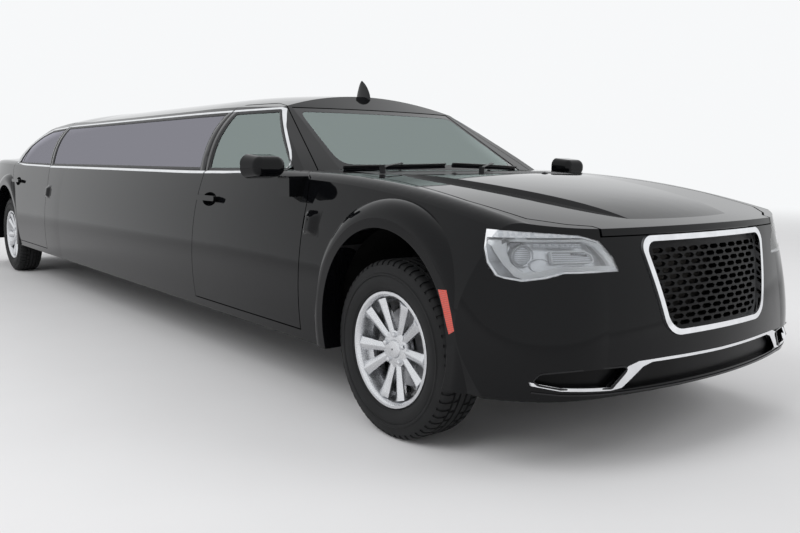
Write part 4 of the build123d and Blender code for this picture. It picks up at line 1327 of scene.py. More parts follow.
@dataclass
class Wipers:
    """Two parked wipers and the washer nozzles."""

    trimmer: Trimmer
    blades: tuple[tuple[Pair, Pair, Pair], ...] = (
        ((-0.045, 1.072), (-0.585, 1.058), (-0.56, -0.5)),
        ((0.59, 1.058), (0.01, 1.075), (0.03, -0.47)),
    )

    def build(self) -> None:
        """Make both wipers and the nozzles."""
        for index, (start, end, pivot) in enumerate(self.blades):
            self.wiper(f"wiper_{index + 1}", start, end, pivot)
        for side in Side:
            self.nozzle(side)

    def wiper(self, name: str, start: Pair, end: Pair, pivot: Pair) -> None:
        """One arm with its blade.

        Args:
            name: the piece's name.
            start: y and z of the blade's inner end on the glass.
            end: y and z of its outer end.
            pivot: y of the spindle, and its x from the front axle.
        """
        surface = self.trimmer.surface
        steps = 12
        spots = []
        for k in range(steps + 1):
            y = start[0] + (end[0] - start[0]) * k / steps
            z = start[1] + (end[1] - start[1]) * k / steps
            spots.append(surface.hit((front(0.3), y, z), (-1, 0, 0)))
        rubber = Bench.bar(f"{name}_rubber", [p + Vector((0.004, 0, 0.002)) for p in spots], 0.0035, 8, 1.6)
        spine = Bench.bar(f"{name}_spine", [p + Vector((0.01, 0, 0.006)) for p in spots], 0.0075, 8, 0.5)
        root = surface.top(front(pivot[1]), pivot[0])
        middle = spots[steps // 2] + Vector((0.016, 0, 0.012))
        lift = Vector((0, 0, 0.022))
        line = [root + lift, root + (middle - root) * 0.25 + lift, middle + Vector((0.004, 0, 0.004)), middle]
        arm = Bench.bar(f"{name}_arm", line, 0.008, 8, 0.45)
        boss = Bench.bar(f"{name}_boss", [root - Vector((0, 0, 0.01)), root + lift * 1.35], 0.014, 20)
        piece = Bench.join([spine, rubber, arm, boss], name)
        Bench.paint(piece, self.trimmer.finishes.of("trim_black"))
        seat(piece, "black_plastic")

    def nozzle(self, side: Side) -> None:
        """One washer nozzle on the hood's rear."""
        spot = self.trimmer.surface.top(front(-0.3), side.value * 0.3)
        sections = (
            (-0.016, 0.006, 0.002), (-0.01, 0.011, 0.007), (0.004, 0.012, 0.009), (0.018, 0.007, 0.002),
        )
        rings = [
            [spot + Vector((x, half * math.cos(t), rise * math.sin(t))) for t in circle(12)]
            for x, half, rise in sections
        ]
        piece = Bench.loft(f"washer_nozzle_{side.word}", rings)
        seat(self.trimmer.finishes.coat(piece, "trim_black", 50), "black_plastic", "hood")


@dataclass
class Headlamps:
    """What shows behind the headlamps' lenses: rim, deck, tray, projector, bowl and light rows."""

    trimmer: Trimmer
    outer: Line = (
        (-0.51, 0.729), (-0.526, 0.767), (-0.575, 0.82), (-0.622, 0.834), (-0.76, 0.834), (-0.882, 0.834),
        (-0.872, 0.79), (-0.86, 0.752), (-0.84, 0.713), (-0.822, 0.704), (-0.762, 0.714), (-0.703, 0.73),
    )
    inner: Line = (
        (-0.536, 0.744), (-0.548, 0.766), (-0.588, 0.808), (-0.63, 0.827), (-0.76, 0.827), (-0.842, 0.827),
        (-0.846, 0.79), (-0.842, 0.756), (-0.824, 0.732), (-0.812, 0.724), (-0.768, 0.731), (-0.71, 0.745),
    )
    tray: Line = (
        (-0.736, 0.756), (-0.59, 0.756), (-0.598, 0.784), (-0.622, 0.798), (-0.736, 0.798),
    )
    projector: Point = (front(0.592), -0.786, 0.774)
    yaw: float = -22.0
    bowl: Point = (front(0.628), -0.738, 0.742)

    def build(self) -> None:
        """Make every piece of the right lamp and copy it to the left."""
        sheets = (self.rim(), self.deck(), *self.tray_parts(), *self.rows())
        for piece in (*sheets, self.ball(), self.barrel(), self.cup()):
            self.trimmer.both(piece, "body", "lamp_body")

    def rim(self) -> Piece:
        """The bright band round the lamp, which widens to the plain outer wing."""
        first, second = paired(self.outer, self.inner, 4, closed=True)
        return self.trimmer.strip(
            "lamp_rim", first, second, Face.NOSE, "lamp_milk", 0.018, 3, True, 0.0015, 0.007
        )

    def deck(self) -> Piece:
        """The bright sheet that the other parts stand on."""
        upper = [(y / 1000, 0.829) for y in range(-848, -628, 10)]
        upper += [(y / 1000, level(self.inner[:4], y / 1000)) for y in range(-628, -537, 10)]
        low = [self.inner[0], *reversed(self.inner[8:]), self.inner[7]]
        lower = [(y, level(low, y)) for y, _ in upper]
        return self.trimmer.strip(
            "lamp_deck", upper, lower, Face.NOSE, "lamp_silver", 0.002, 6, False, 0.0, 0.048
        )

    def tray_parts(self) -> list[Piece]:
        """The frame of the long reflector, its floor and the slot over it."""
        line = rounded(self.tray, 0.01, 4)
        frame = self.trimmer.strip(
            "lamp_tray", line, offset(line, 0.005), Face.NOSE, "lamp_milk", 0.032, 1, True, 0.0012, 0.013
        )
        inside = offset(self.tray, 0.004)
        parts = [frame]
        for name, first, second, count, finish, thickness, rows, edge, sink in (
            (
                "lamp_floor", [inside[4], inside[3], inside[2]], [inside[0], (-0.64, 0.76), inside[1]],
                6, "lamp_clear", 0.003, 2, 0.001, 0.025,
            ),
            (
                "lamp_slot", [(-0.668, 0.791), (-0.612, 0.784)], [(-0.668, 0.786), (-0.612, 0.779)],
                5, "lamp_smoke", 0.004, 1, 0.0008, 0.02,
            ),
            (
                "lamp_corner", [(-0.838, 0.826), (-0.806, 0.826)], [(-0.836, 0.806), (-0.832, 0.806)],
                4, "lamp_smoke", 0.004, 2, 0.001, 0.016,
            ),
        ):
            upper, lower = paired(first, second, count)
            parts.append(self.trimmer.strip(
                name, upper, lower, Face.NOSE, finish, thickness, rows, False, edge, sink
            ))
        return parts

    def rows(self) -> list[Piece]:
        """The two rows of light blocks, each raised from its strip."""
        out = []
        for name, line, high, count in (
            ("lamp_row_top", [(-0.778, 0.808), (-0.632, 0.806)], 0.015, 8),
            ("lamp_row_low", [(-0.706, 0.735), (-0.628, 0.737)], 0.012, 5),
        ):
            (a0, b0), (a1, b1) = line
            low = [(a0 + (a1 - a0) * k / count, b0 + (b1 - b0) * k / count) for k in range(count + 1)]
            up = [(a, b + high) for a, b in low]
            piece = self.trimmer.strip(name, up, low, Face.NOSE, "lamp_clear", 0.004, 1, False, 0.0, 0.018)
            blocks = (0.0026, 0.006), (0.0022, 0.002)
            Bench.steps(piece, lambda face: face.normal.x > 0.3 and face.calc_area() > 0.00008, blocks)
            Bench.smooth(piece, 30)
            out.append(piece)
        return out

    def turned(self, name: str, profile: Line, steps: int, place: Point, finish: str,
               angle: float, squash: Point = (1, 1, 1)) -> Piece:
        """A lathed part of the lamp that looks out at the place, with its finish."""
        piece = Bench.dial(name, profile, steps, place, squash, self.yaw)
        return self.trimmer.finishes.coat(piece, finish, angle)

    def ball(self) -> Piece:
        """The projector's ball."""
        turns = [math.radians(a) for a in range(0, 88, 8)]
        curve = [(0.029 * math.cos(t), -0.014 * math.sin(t)) for t in turns]
        profile = [(0.029, 0.012), *curve, (0.0012, -0.014)]
        return self.turned("lamp_ball", profile, 48, self.projector, "lamp_clear", 40)

    def barrel(self) -> Piece:
        """The stepped ring round the ball."""
        profile = [
            (0.0295, 0.01), (0.03, -0.002), (0.0325, -0.003), (0.033, 0.003), (0.0355, 0.003),
            (0.0365, -0.004), (0.0395, -0.004), (0.0405, 0.0), (0.041, 0.028), (0.0295, 0.028),
            (0.0295, 0.01),
        ]
        return self.turned("lamp_barrel", profile, 64, self.projector, "lamp_silver", 30)

    def cup(self) -> Piece:
        """The oval reflector below the projector."""
        turns = [math.radians(a) for a in range(14, 91, 8)]
        profile = [(0.036, -0.004), (0.038, -0.001), (0.038, 0.022), (0.004, 0.022), (0.004, 0.018)]
        profile += [(0.034 * math.sin(t), 0.018 * math.cos(t)) for t in turns]
        profile += [profile[0]]
        return self.turned("lamp_cup", profile, 56, self.bowl, "lamp_silver", 35, (1.0, 1.0, 0.6))


@dataclass
class NoseTrims:
    """Thin trims on the nose: the vents' bezels and the lip under the grille."""

    trimmer: Trimmer
    vent: Line = (
        (-0.559, 0.33), (-0.745, 0.343), (-0.82, 0.36), (-0.797, 0.391), (-0.7, 0.399), (-0.492, 0.397),
    )
    lip: Line = ((-0.82, 0.326), (-0.74, 0.316), (-0.56, 0.305), (-0.3, 0.301), (0.0, 0.3))
    lip_height: float = 0.006

    def build(self) -> None:
        """Lay them all."""
        line = rounded(self.vent[::-1], 0.012, 5)
        bezel = self.trimmer.strip(
            "vent_bezel", offset(line, -0.005), offset(line, 0.001), Face.NOSE, "gloss_black", 0.004, 1, True,
            0.0012,
        )
        self.trimmer.both(bezel, "body", "black_plastic")
        low = along(rounded(self.lip, 0.05, closed=False), 0.025)
        low += [(-a, b) for a, b in reversed(low[:-1])]
        high = [(a, b + self.lip_height) for a, b in low]
        lip = self.trimmer.strip("nose_lip", high, low, Face.NOSE, "gloss_black", 0.004, 1, False, 0.001)
        seat(lip, "black_plastic")


@dataclass
class Screens:
    """The black borders printed on the windscreen and the rear window."""

    trimmer: Trimmer
    screen: Line = ((0.608, 1.0475), (0.58, 1.188), (0.54, 1.369))
    backlight: Line = (
        (0.634, 1.1255), (0.604, 1.198), (0.574, 1.259), (0.55, 1.32), (0.53, 1.3625),
    )

    def build(self) -> None:
        """Lay both borders."""
        for name, half, face in (
            ("screen_border", self.screen, Face.NOSE), ("backlight_border", self.backlight, Face.TAIL),
        ):
            outline = [(-half[0][0], half[0][1]), *half, *((-y, z) for y, z in half[:0:-1])]
            outer, inner = rounded(outline, 0.006, 5), rounded(offset(outline, 0.024), 0.045, 5)
            first, second = paired(outer, inner, 1, closed=True, step=0.02)
            piece = self.trimmer.strip(name, first, second, face, "gloss_black", 0.0008, 1, True, 0.0)
            seat(piece, "black_plastic")


@dataclass
class HingeCovers:
    """Smooth covers over the doors' upper hinges, in the body's paint."""

    trimmer: Trimmer
    pins: tuple[tuple[str, float, float], ...] = (
        ("front", front(-0.541), 0.049), ("rear", rear(1.447), 0.04),
    )
    ahead: float = 0.075
    low: float = 0.765
    high: float = 0.875
    proud: float = 0.0215
    clear: float = 0.0002
    slope: float = 0.031
    ridge: float = 0.014
    cells: int = 22

    def build(self) -> None:
        """Make both covers of the right side and copy them."""
        shares = [k / self.cells for k in range(self.cells + 1)]
        for word, pin, behind in self.pins:
            places = []
            for z in (self.low + (self.high - self.low) * share for share in shares):
                for ahead in ((behind + self.ahead) * share - behind for share in shares):
                    proud = self.clear + self.rise(ahead, z, behind)
                    places.append((pin + ahead, self.skin(pin + ahead, z) - proud, z))
            piece = Bench.grid(f"hinge_cover_{word}", self.cells, self.cells, places)
            Bench.face_out(piece, Vector((0, -1, 0)))
            Bench.apply(piece, "SOLIDIFY", thickness=0.0006, offset=1.0)
            self.trimmer.both(self.trimmer.finishes.coat(piece, "body_black", 40), "body", "body_paint")

    def skin(self, x: float, z: float) -> float:
        """The side's Y at a place, read above and below the hinge's opening."""
        share = (z - self.low) / (self.high - self.low)
        low, high = self.trimmer.surface.side(x, self.low), self.trimmer.surface.side(x, self.high)
        return low.y + (high.y - low.y) * share

    def rise(self, ahead: float, z: float, behind: float) -> float:
        """How far the cover stands proud at a place."""
        fore = ease((self.ahead - ahead) / (self.ahead - self.ridge))
        aft = ease((ahead + behind) / (behind - self.ridge))
        along_z = ease((z - self.low) / self.slope) * ease((self.high - z) / self.slope)
        return self.proud * aft * fore * along_z


@dataclass
class RoofFin:
    """The antenna's fin: a curved leading edge, a steep back and rounded flanks."""

    finishes: Finishes
    foot: Point = (1.738, 0.0, 1.4325)
    rows: tuple[tuple[float, float, float, float], ...] = (
        (0.0, 0.064, 0.067, 0.0135), (0.02, 0.064, 0.067, 0.0135), (0.036, 0.06, 0.066, 0.0125),
        (0.055, 0.05, 0.06, 0.0105), (0.075, 0.036, 0.052, 0.0085), (0.092, 0.02, 0.044, 0.0065),
        (0.105, 0.004, 0.036, 0.005), (0.113, -0.008, 0.028, 0.0035), (0.1185, -0.016, 0.022, 0.0018),
    )

    def build(self) -> None:
        """Draw the fin up from its foot."""
        x, y, z = self.foot
        rings = []
        for height, ahead, behind, half in self.rows:
            middle, reach = x + (ahead - behind) / 2, (ahead + behind) / 2
            rings.append([
                (middle + reach * math.cos(t), y + half * math.sin(t) * (1 - 0.35 * math.cos(t)), z + height)
                for t in circle(28)
            ])
        piece = self.finishes.coat(Bench.loft("roof_fin", rings), "gloss_black", 45)
        seat(piece, "black_plastic", node="antenna_fin")


@dataclass
class TailPipes:
    """Bright tips on the two exhaust pipes."""

    finishes: Finishes
    end: float = rear(-1.105)
    height: float = 0.2647
    side: float = 0.33

    def build(self) -> None:
        """Lathe one tip and copy it."""
        profile = [
            (0.0315, 0.07), (0.0345, 0.064), (0.037, 0.004), (0.0375, 0.0), (0.0365, -0.002),
            (0.0345, -0.001), (0.033, 0.004), (0.0315, 0.06), (0.0315, 0.07),
        ]
        master = Bench.lathe("tip", profile, (0, 0, 0), 48)
        back = Matrix.Rotation(-math.pi / 2, 4, "Z")
        for side in Side:
            move = Matrix.Translation((self.end, side.value * self.side, self.height))
            piece = Bench.copy(master, f"exhaust_tip_{side.word}", move @ back)
            seat(self.finishes.coat(piece, "bright_chrome"), "chrome")
        bpy.data.objects.remove(master)


@dataclass
class Cushion:
    """A padded block: crowned face, sides that pull in, sewn channels and a piped seam.

    Attributes:
        up: the axis that the face looks along, with its sign.
        crown: how far the face swells; a share of it, dome, is round and the rest is flatter.
        pull: how far the sides pull in between the corners.
        power: how square the block is.
        channels: axis and place, from -1 to 1, of each sewn line; stitch is its width and depth.
        lean: its turn about Y in degrees.
        seam: how high the piping runs, from 0 to 1.
    """

    name: str
    low: Point
    high: Point
    up: int = 2
    sign: int = 1
    crown: float = 0.022
    pull: float = 0.01
    power: float = 6.0
    channels: tuple[tuple[int, float], ...] = ()
    cuts: int = 19
    lean: float = 0.0
    stitch: Pair = (0.045, 0.01)
    piping: float = 0.0042
    seam: float = 0.72
    dome: float = 0.35
    rim: float = 0.2
    rise: float = 1.6

    @property
    def sides(self) -> list[int]:
        """The two axes across the face."""
        return [k for k in range(3) if k != self.up]

    def place(self, spot: Vector) -> Vector:
        """Where a point of the start cube, from -1 to 1 along each axis, goes."""
        norm = sum(abs(c) ** self.power for c in spot) ** (1 / self.power)
        unit = spot / norm
        half = (Vector(self.high) - Vector(self.low)) / 2
        half[self.up] -= self.crown / 2
        out = Vector([unit[k] * half[k] for k in range(3)])
        sides = self.sides
        for k, other in (sides, sides[::-1]):
            out[k] -= math.copysign(self.pull * (1 - unit[other] ** 2) * abs(unit[k]) ** 4, unit[k])
        face = max(0.0, unit[self.up] * self.sign)
        if face > self.rim:
            wide, deep = self.stitch
            swell = (1 - unit[sides[0]] ** 2) * (1 - unit[sides[1]] ** 2)
            sewn = sum(math.exp(-(((spot[axis] - where) / wide) ** 2)) for axis, where in self.channels)
            high = self.crown * (self.dome * swell + (1 - self.dome) * swell ** 0.5)
            out[self.up] += self.sign * (high - deep * min(1.0, sewn)) * ease(face * self.rise)
        out[self.up] -= self.sign * self.crown / 2
        middle = (Vector(self.low) + Vector(self.high)) / 2
        turn = Matrix.Rotation(math.radians(self.lean), 3, "Y")
        return middle + turn @ out

    def build(self, material: Material) -> Piece:
        """Shape the cushion from a divided cube, and lay its piping."""
        Bench.clear()
        bpy.ops.mesh.primitive_cube_add(size=2.0)
        piece = Bench.named(self.name)
        Bench.edit(piece)
        bpy.ops.mesh.subdivide(number_cuts=self.cuts)
        Bench.clear()
        for vertex in piece.data.vertices:
            vertex.co = self.place(vertex.co)
        Bench.smooth(piece, 60)
        sides = self.sides
        ring = []
        for turn in (*circle(40), math.tau):
            spot = Vector((0, 0, 0))
            across = max(abs(math.cos(turn)), abs(math.sin(turn)))
            spot[sides[0]], spot[sides[1]] = math.cos(turn) / across, math.sin(turn) / across
            spot[self.up] = self.seam * self.sign
            ring.append(self.place(spot))
        piping = Bench.bar(f"{self.name}_piping", ring, self.piping, 8)
        piece = Bench.join([piece, piping], self.name)
        Bench.paint(piece, material)
        return piece


@dataclass
class Seats:
    """The front seats, the lounge's long bench and the rear bench, all padded."""

    finishes: Finishes
    base_low: float = 0.341

    def build(self) -> None:
        """Make every seat."""
        for side, y in ((Side.RIGHT, -0.64), (Side.LEFT, 0.16)):
            self.front_seat(side, y)
        self.long_bench()
        self.rear_bench()

    def pad(self, cushions: Sequence[Cushion], name: str, node: str) -> None:
        """Build cushions as one padded piece that stands for a CAD node."""
        leather = self.finishes.of("seat_leather")
        piece = Bench.join([cushion.build(leather) for cushion in cushions], name)
        seat(piece, "seat_leather", node=node)

    def stand(self, name: str, low: Point, high: Point, node: str) -> None:
        """A hard base under a seat, with a kick recess round its foot."""
        piece = Bench.box(name, low, high, 0.008)
        sides = [(0.018, -0.004)]
        Bench.steps(piece, lambda face: abs(face.normal.z) < 0.1 and face.calc_area() > 0.02, sides)
        seat(self.finishes.coat(piece, "cabin_plastic"), "cabin_trim", node=node)

    def front_seat(self, side: Side, y: float) -> None:
        """One front seat: cushion, back and head restraint on its stand."""
        seat_lines = ((1, -0.52), (1, 0.52), (0, -0.2), (0, 0.25))
        back_lines = ((1, -0.52), (1, 0.52), (2, -0.3), (2, 0.1), (2, 0.5))
        for word, cushion in (
            ("cushion", Cushion(
                "cushion", (front(-1.56), y + 0.005, 0.425), (front(-1.055), y + 0.475, 0.615),
                channels=seat_lines,
            )),
            ("back", Cushion(
                "back", (front(-1.662), y + 0.01, 0.59), (front(-1.54), y + 0.47, 1.15), 0, 1, 0.028,
                channels=back_lines, lean=-15.0,
            )),
            ("rest", Cushion(
                "rest", (front(-1.738), y + 0.125, 1.118), (front(-1.664), y + 0.355, 1.288), 0, 1, 0.012,
                0.006, 4.0, cuts=11, lean=-8.0,
            )),
        ):
            self.pad([cushion], f"front_{word}_{side.word}", "front_seats")
        low, high = (front(-1.5), y + 0.06, self.base_low), (front(-1.11), y + 0.42, 0.432)
        self.stand(f"front_stand_{side.word}", low, high, "front_seats")

    def long_bench(self) -> None:
        """The bench along the lounge's left side, in five places."""
        start, end, count, gap = rear(1.48), front(-1.89), 5, 0.002
        run = (end - start) / count
        lines = ((0, -0.33), (0, 0.33))
        seats, backs = [], []
        for k in range(count):
            x0, x1 = start + run * k + gap, start + run * (k + 1) - gap
            seats.append(Cushion(
                "seat", (x0, 0.292, 0.545), (x1, 0.712, 0.7), power=9.0, channels=lines, cuts=17,
            ))
            backs.append(Cushion(
                "back", (x0, 0.69, 0.6), (x1, 0.788, 1.0), 1, -1, 0.02, 0.006, 9.0, lines, 17,
            ))
        self.pad(seats, "bench_seat", "side_bench")
        self.pad(backs, "bench_back", "side_bench")
        self.stand("bench_base", (start, 0.312, self.base_low), (end, 0.78, 0.55), "side_bench")

    def rear_bench(self) -> None:
        """The rear bench with two places."""
        seats, backs = [], []
        for y0, y1 in ((-0.62, -0.002), (0.002, 0.62)):
            seats.append(Cushion(
                "seat", (rear(-0.3), y0, 0.6), (rear(0.3), y1, 0.76),
                channels=((1, -0.4), (1, 0.4), (0, 0.0)), cuts=17,
            ))
            backs.append(Cushion(
                "back", (rear(-0.4), y0, 0.69), (rear(-0.27), y1, 1.04), 0, 1, 0.022,
                channels=((1, -0.4), (1, 0.4)), cuts=17,
            ))
        self.pad(seats, "rear_seat", "rear_bench")
        self.pad(backs, "rear_back", "rear_bench")
        self.stand("rear_base", (rear(-0.4), -0.618, 0.547), (rear(0.296), 0.618, 0.612), "rear_bench")


@dataclass
class Cabin:
    """The hard fittings of the cabin: carpet, cabinet fronts, partition glass, dashboard and door cards."""

    finishes: Finishes
    frame: dict
    floor: float = 0.3354
    tunnel: float = 0.16

    def build(self) -> None:
        """Make them all."""
        self.carpet()
        self.cabinet()
        self.partition()
        self.dashboard()
        self.door_card(Axle.FRONT, front(-1.64), front(-0.72))
        self.door_card(Axle.REAR, rear(0.56), rear(1.33))

    def carpet(self) -> None:
        """Carpet on the floor's two sides and over the tunnel."""
        x0, x1, high, wall = rear(0.33), front(-0.6), self.floor + 0.006, self.tunnel + 0.004
        parts = [
            Bench.box("carpet", (x0, -0.79, self.floor), (x1, -self.tunnel, high), 0.002),
            Bench.box("carpet", (x0, self.tunnel, self.floor), (x1, 0.79, high), 0.002),
            Bench.box("carpet", (x0, -wall, self.floor), (x1, wall, 0.511), 0.012),
        ]
        self.finishes.fit(parts, "carpet", "cabin_carpet", "cabin_trim")

    def cabinet(self) -> None:
        """The cabinet's worktop with its rail, and six doors with knobs."""
        x0, x1 = rear(1.48), front(-1.89)
        top = Bench.box("cabinet_top", (x0, -0.792, 0.8202), (x1, -0.424, 0.834), 0.004)
        rail = Bench.bar("rail", [(x0 + 0.03, -0.44, 0.862), (x1 - 0.03, -0.44, 0.862)], 0.005, 10)
        posts = [
            Bench.bar("post", [(x, -0.44, 0.832), (x, -0.44, 0.862)], 0.004, 10)
            for x in (x0 + 0.04 + (x1 - x0 - 0.08) * k / 8 for k in range(9))
        ]
        self.finishes.fit([top], "cabinet_top", "gloss_black", "cabinet")
        self.finishes.fit([rail, *posts], "cabinet_rail", "bright_chrome", "chrome")
        doors, knobs = [], []
        count, gap, inward = 6, 0.006, 0.028
        run = (x1 - x0) / count
        for k in range(count):
            a, b = x0 + run * k + gap, x0 + run * (k + 1) - gap
            door = Bench.box("door", (a, -0.4302, 0.375), (b, -0.421, 0.812), 0.0015)
            Bench.edit(door)
            Bench.pick(door, lambda face: face.normal.y > 0.9 and face.calc_area() > 0.05)
            bpy.ops.mesh.inset(thickness=0.045)
            bpy.ops.mesh.inset(thickness=0.006, depth=-0.004)
            Bench.clear()
            doors.append(door)
            knob = b - inward if k % 2 == 0 else a + inward
            knobs.append(Bench.bar("knob", [(knob, -0.422, 0.62), (knob, -0.41, 0.62)], 0.008, 14))
        self.finishes.fit(doors, "cabinet_doors", "cabinet_lacquer", "cabinet")
        self.finishes.fit(knobs, "cabinet_knobs", "bright_chrome", "chrome")

    def partition(self) -> None:
        """The pane in the partition and its frame."""
        pane = Bench.box(
            "partition_pane", (front(-1.868), -0.479, 0.901), (front(-1.862), 0.479, 1.249), 0.001
        )
        self.finishes.fit([pane], "partition_pane", "tinted_glass", "dark_glass")
        line = rounded([(-0.5, 0.88), (0.5, 0.88), (0.5, 1.27), (-0.5, 1.27)], 0.03, 5)
        inside = offset(line, 0.026)
        for word, x, x_in in (("front", -1.849, -1.845), ("rear", -1.8805, -1.8845)):
            rings = [
                [(front(depth), y, z) for y, z in loop]
                for depth, loop in ((x, line), (x_in, line), (x_in, inside), (x, inside), (x, line))
            ]
            places = [place for ring in rings for place in (*ring, ring[0])]
            name = f"partition_frame_{word}"
            frame = Bench.grid(name, len(line), len(rings) - 1, places)
            Bench.tidy(frame)
            self.finishes.fit([frame], name, "cabin_plastic", "cabin_trim")

    def dashboard(self) -> None:
        """Instrument hood with two dials, middle screen, vents and the glovebox's lid."""
        hood = Bench.box("dash_hood", (front(-0.905), 0.215, 0.965), (front(-0.7), 0.585, 1.035), 0.028, 5)
        self.finishes.fit([hood], "dash_hood", "cabin_plastic", "cabin_trim")
        low, high = (front(-0.902), -0.15, 0.8), (front(-0.884), 0.15, 0.9)
        screen = Bench.box("dash_screen", low, high, 0.006)
        self.finishes.fit([screen], "dash_screen", "gloss_black", "black_plastic")
        profile = [(0.002, -0.002), (0.048, -0.002), (0.052, -0.01), (0.056, -0.01), (0.058, 0.004)]
        dials = [
            Bench.dial("dial", profile, 40, (front(-0.896), y, 0.935), yaw=180.0) for y in (0.325, 0.475)
        ]
        self.finishes.fit(dials, "dash_dials", "lamp_milk", "cabin_trim")
        vents = [
            Bench.box("vane", (front(-0.886), y - 0.045, z), (front(-0.866), y + 0.045, z + 0.005), 0.001)
            for y in (-0.68, -0.23, 0.18, 0.7) for z in (0.915 + 0.014 * k for k in range(4))
        ]
        self.finishes.fit(vents, "dash_vents", "gloss_black", "black_plastic")
        lid = Bench.box("glovebox", (front(-0.898), -0.64, 0.79), (front(-0.88), -0.22, 0.895), 0.006)
        self.finishes.fit([lid], "glovebox", "cabin_plastic", "cabin_trim")

    def door_card(self, axle: Axle, x0: float, x1: float) -> None:
        """The inner trim of a door with its armrest and pull, on both sides of the car."""
        body = f"door_{axle.word}_right"
        door = self.frame["nodes"][body]
        across, up, missed = 20, 14, -0.86
        depths = []
        for z in (0.4 + 0.56 * row / up for row in range(up + 1)):
            for x in (x0 + (x1 - x0) * column / across for column in range(across + 1)):
                found, place, _, _ = door.ray_cast(Vector((x, -0.45, z)), Vector((0, -1, 0)))
                depths.append((x, place.y if found else missed, z))
        inner = sorted(y for _, y, _ in depths)[len(depths) // 2]
        places = [(x, max(y, inner - 0.02) + 0.002, z) for x, y, z in depths]
        card = Bench.grid("card", across, up, places)
        Bench.face_out(card, Vector((0, 1, 0)))
        Bench.apply(card, "SOLIDIFY", thickness=0.006, offset=1.0)
        middle = (x0 + x1) / 2
        low, high = (middle - 0.24, inner + 0.004, 0.66), (middle + 0.2, inner + 0.058, 0.705)
        arm = Bench.box("arm", low, high, 0.016, 4)
        bow = ((0.22, 0.012), (0.235, 0.034), (0.275, 0.034), (0.29, 0.012))
        pull = Bench.bar("pull", [(middle + x, inner + y, 0.78) for x, y in bow], 0.007, 10)
        card = Bench.join([card, arm], "card")
        for piece, word, finish, slot in (
            (card, "card", "seat_leather", "cabin_trim"), (pull, "pull", "bright_chrome", "chrome"),
        ):
            piece.name = f"{word}_{axle.word}"
            Trimmer.both(self.finishes.coat(piece, finish), body, slot)


@dataclass
class TailTrims:
    """What the tail's lamps, bumper and lid carry, and the mirrors' glass."""

    trimmer: Trimmer
    mirror: Point = (front(-0.812), -1.02, 1.062)
    mirror_half: Pair = (0.088, 0.047)

    def build(self) -> None:
        """Make them all."""
        outline = rounded([(-0.866, 0.746), (-0.648, 0.737), (-0.648, 0.884), (-0.866, 0.892)], 0.012, 4)
        line = along(outline, 0.02, closed=True)
        rim = self.trimmer.strip(
            "tail_rim", line, offset(line, 0.006), Face.TAIL, "bright_chrome", 0.0025, 1, True, 0.0008
        )
        self.trimmer.both(rim, "body", "chrome")
        for name, finish, slot, start, end, high, thickness in (
            ("tail_divider", "gloss_black", "black_plastic", (-0.858, 0.812), (-0.656, 0.806), 0.006, 0.002),
            ("reversing_lamp", "lamp_milk", "lamp_body", (-0.738, 0.749), (-0.658, 0.746), 0.04, 0.0015),
            ("rear_reflector", "tail_red", "tail_lens", (-0.845, 0.385), (-0.7, 0.385), 0.024, 0.003),
        ):
            first = along((start, end), 0.015)
            second = [(y, z + high) for y, z in first]
            piece = self.trimmer.strip(name, first, second, Face.TAIL, finish, thickness, 2)
            self.trimmer.both(piece, "body", slot)
        for name, finish, slot, body, half, low, high in (
            ("rear_valance", "gloss_black", "black_plastic", "body", 0.62, 0.306, 0.35),
            ("lid_strip", "bright_chrome", "chrome", "trunk_lid", 0.3, 0.905, 0.917),
        ):
            first = along([(-half, low), (half, low)], 0.03)
            second = [(y, high) for y, _ in first]
            seat(self.trimmer.strip(name, first, second, Face.TAIL, finish, 0.003, 2), slot, body)
        x, y, z = self.mirror
        wide, tall = self.mirror_half
        corners = [(-wide, -tall), (wide, -tall), (wide, tall), (-wide, tall)]
        rings = [
            [(x - out, y + a * size, z + b * size) for a, b in rounded(corners, 0.038, 8)]
            for out, size in ((-0.0004, 1.0), (0.0012, 1.0), (0.0018, 0.985))
        ]
        glass = self.trimmer.finishes.coat(Bench.loft("mirror_glass", rings), "bright_chrome", 40)
        self.trimmer.both(glass, "door_front_right", "chrome")


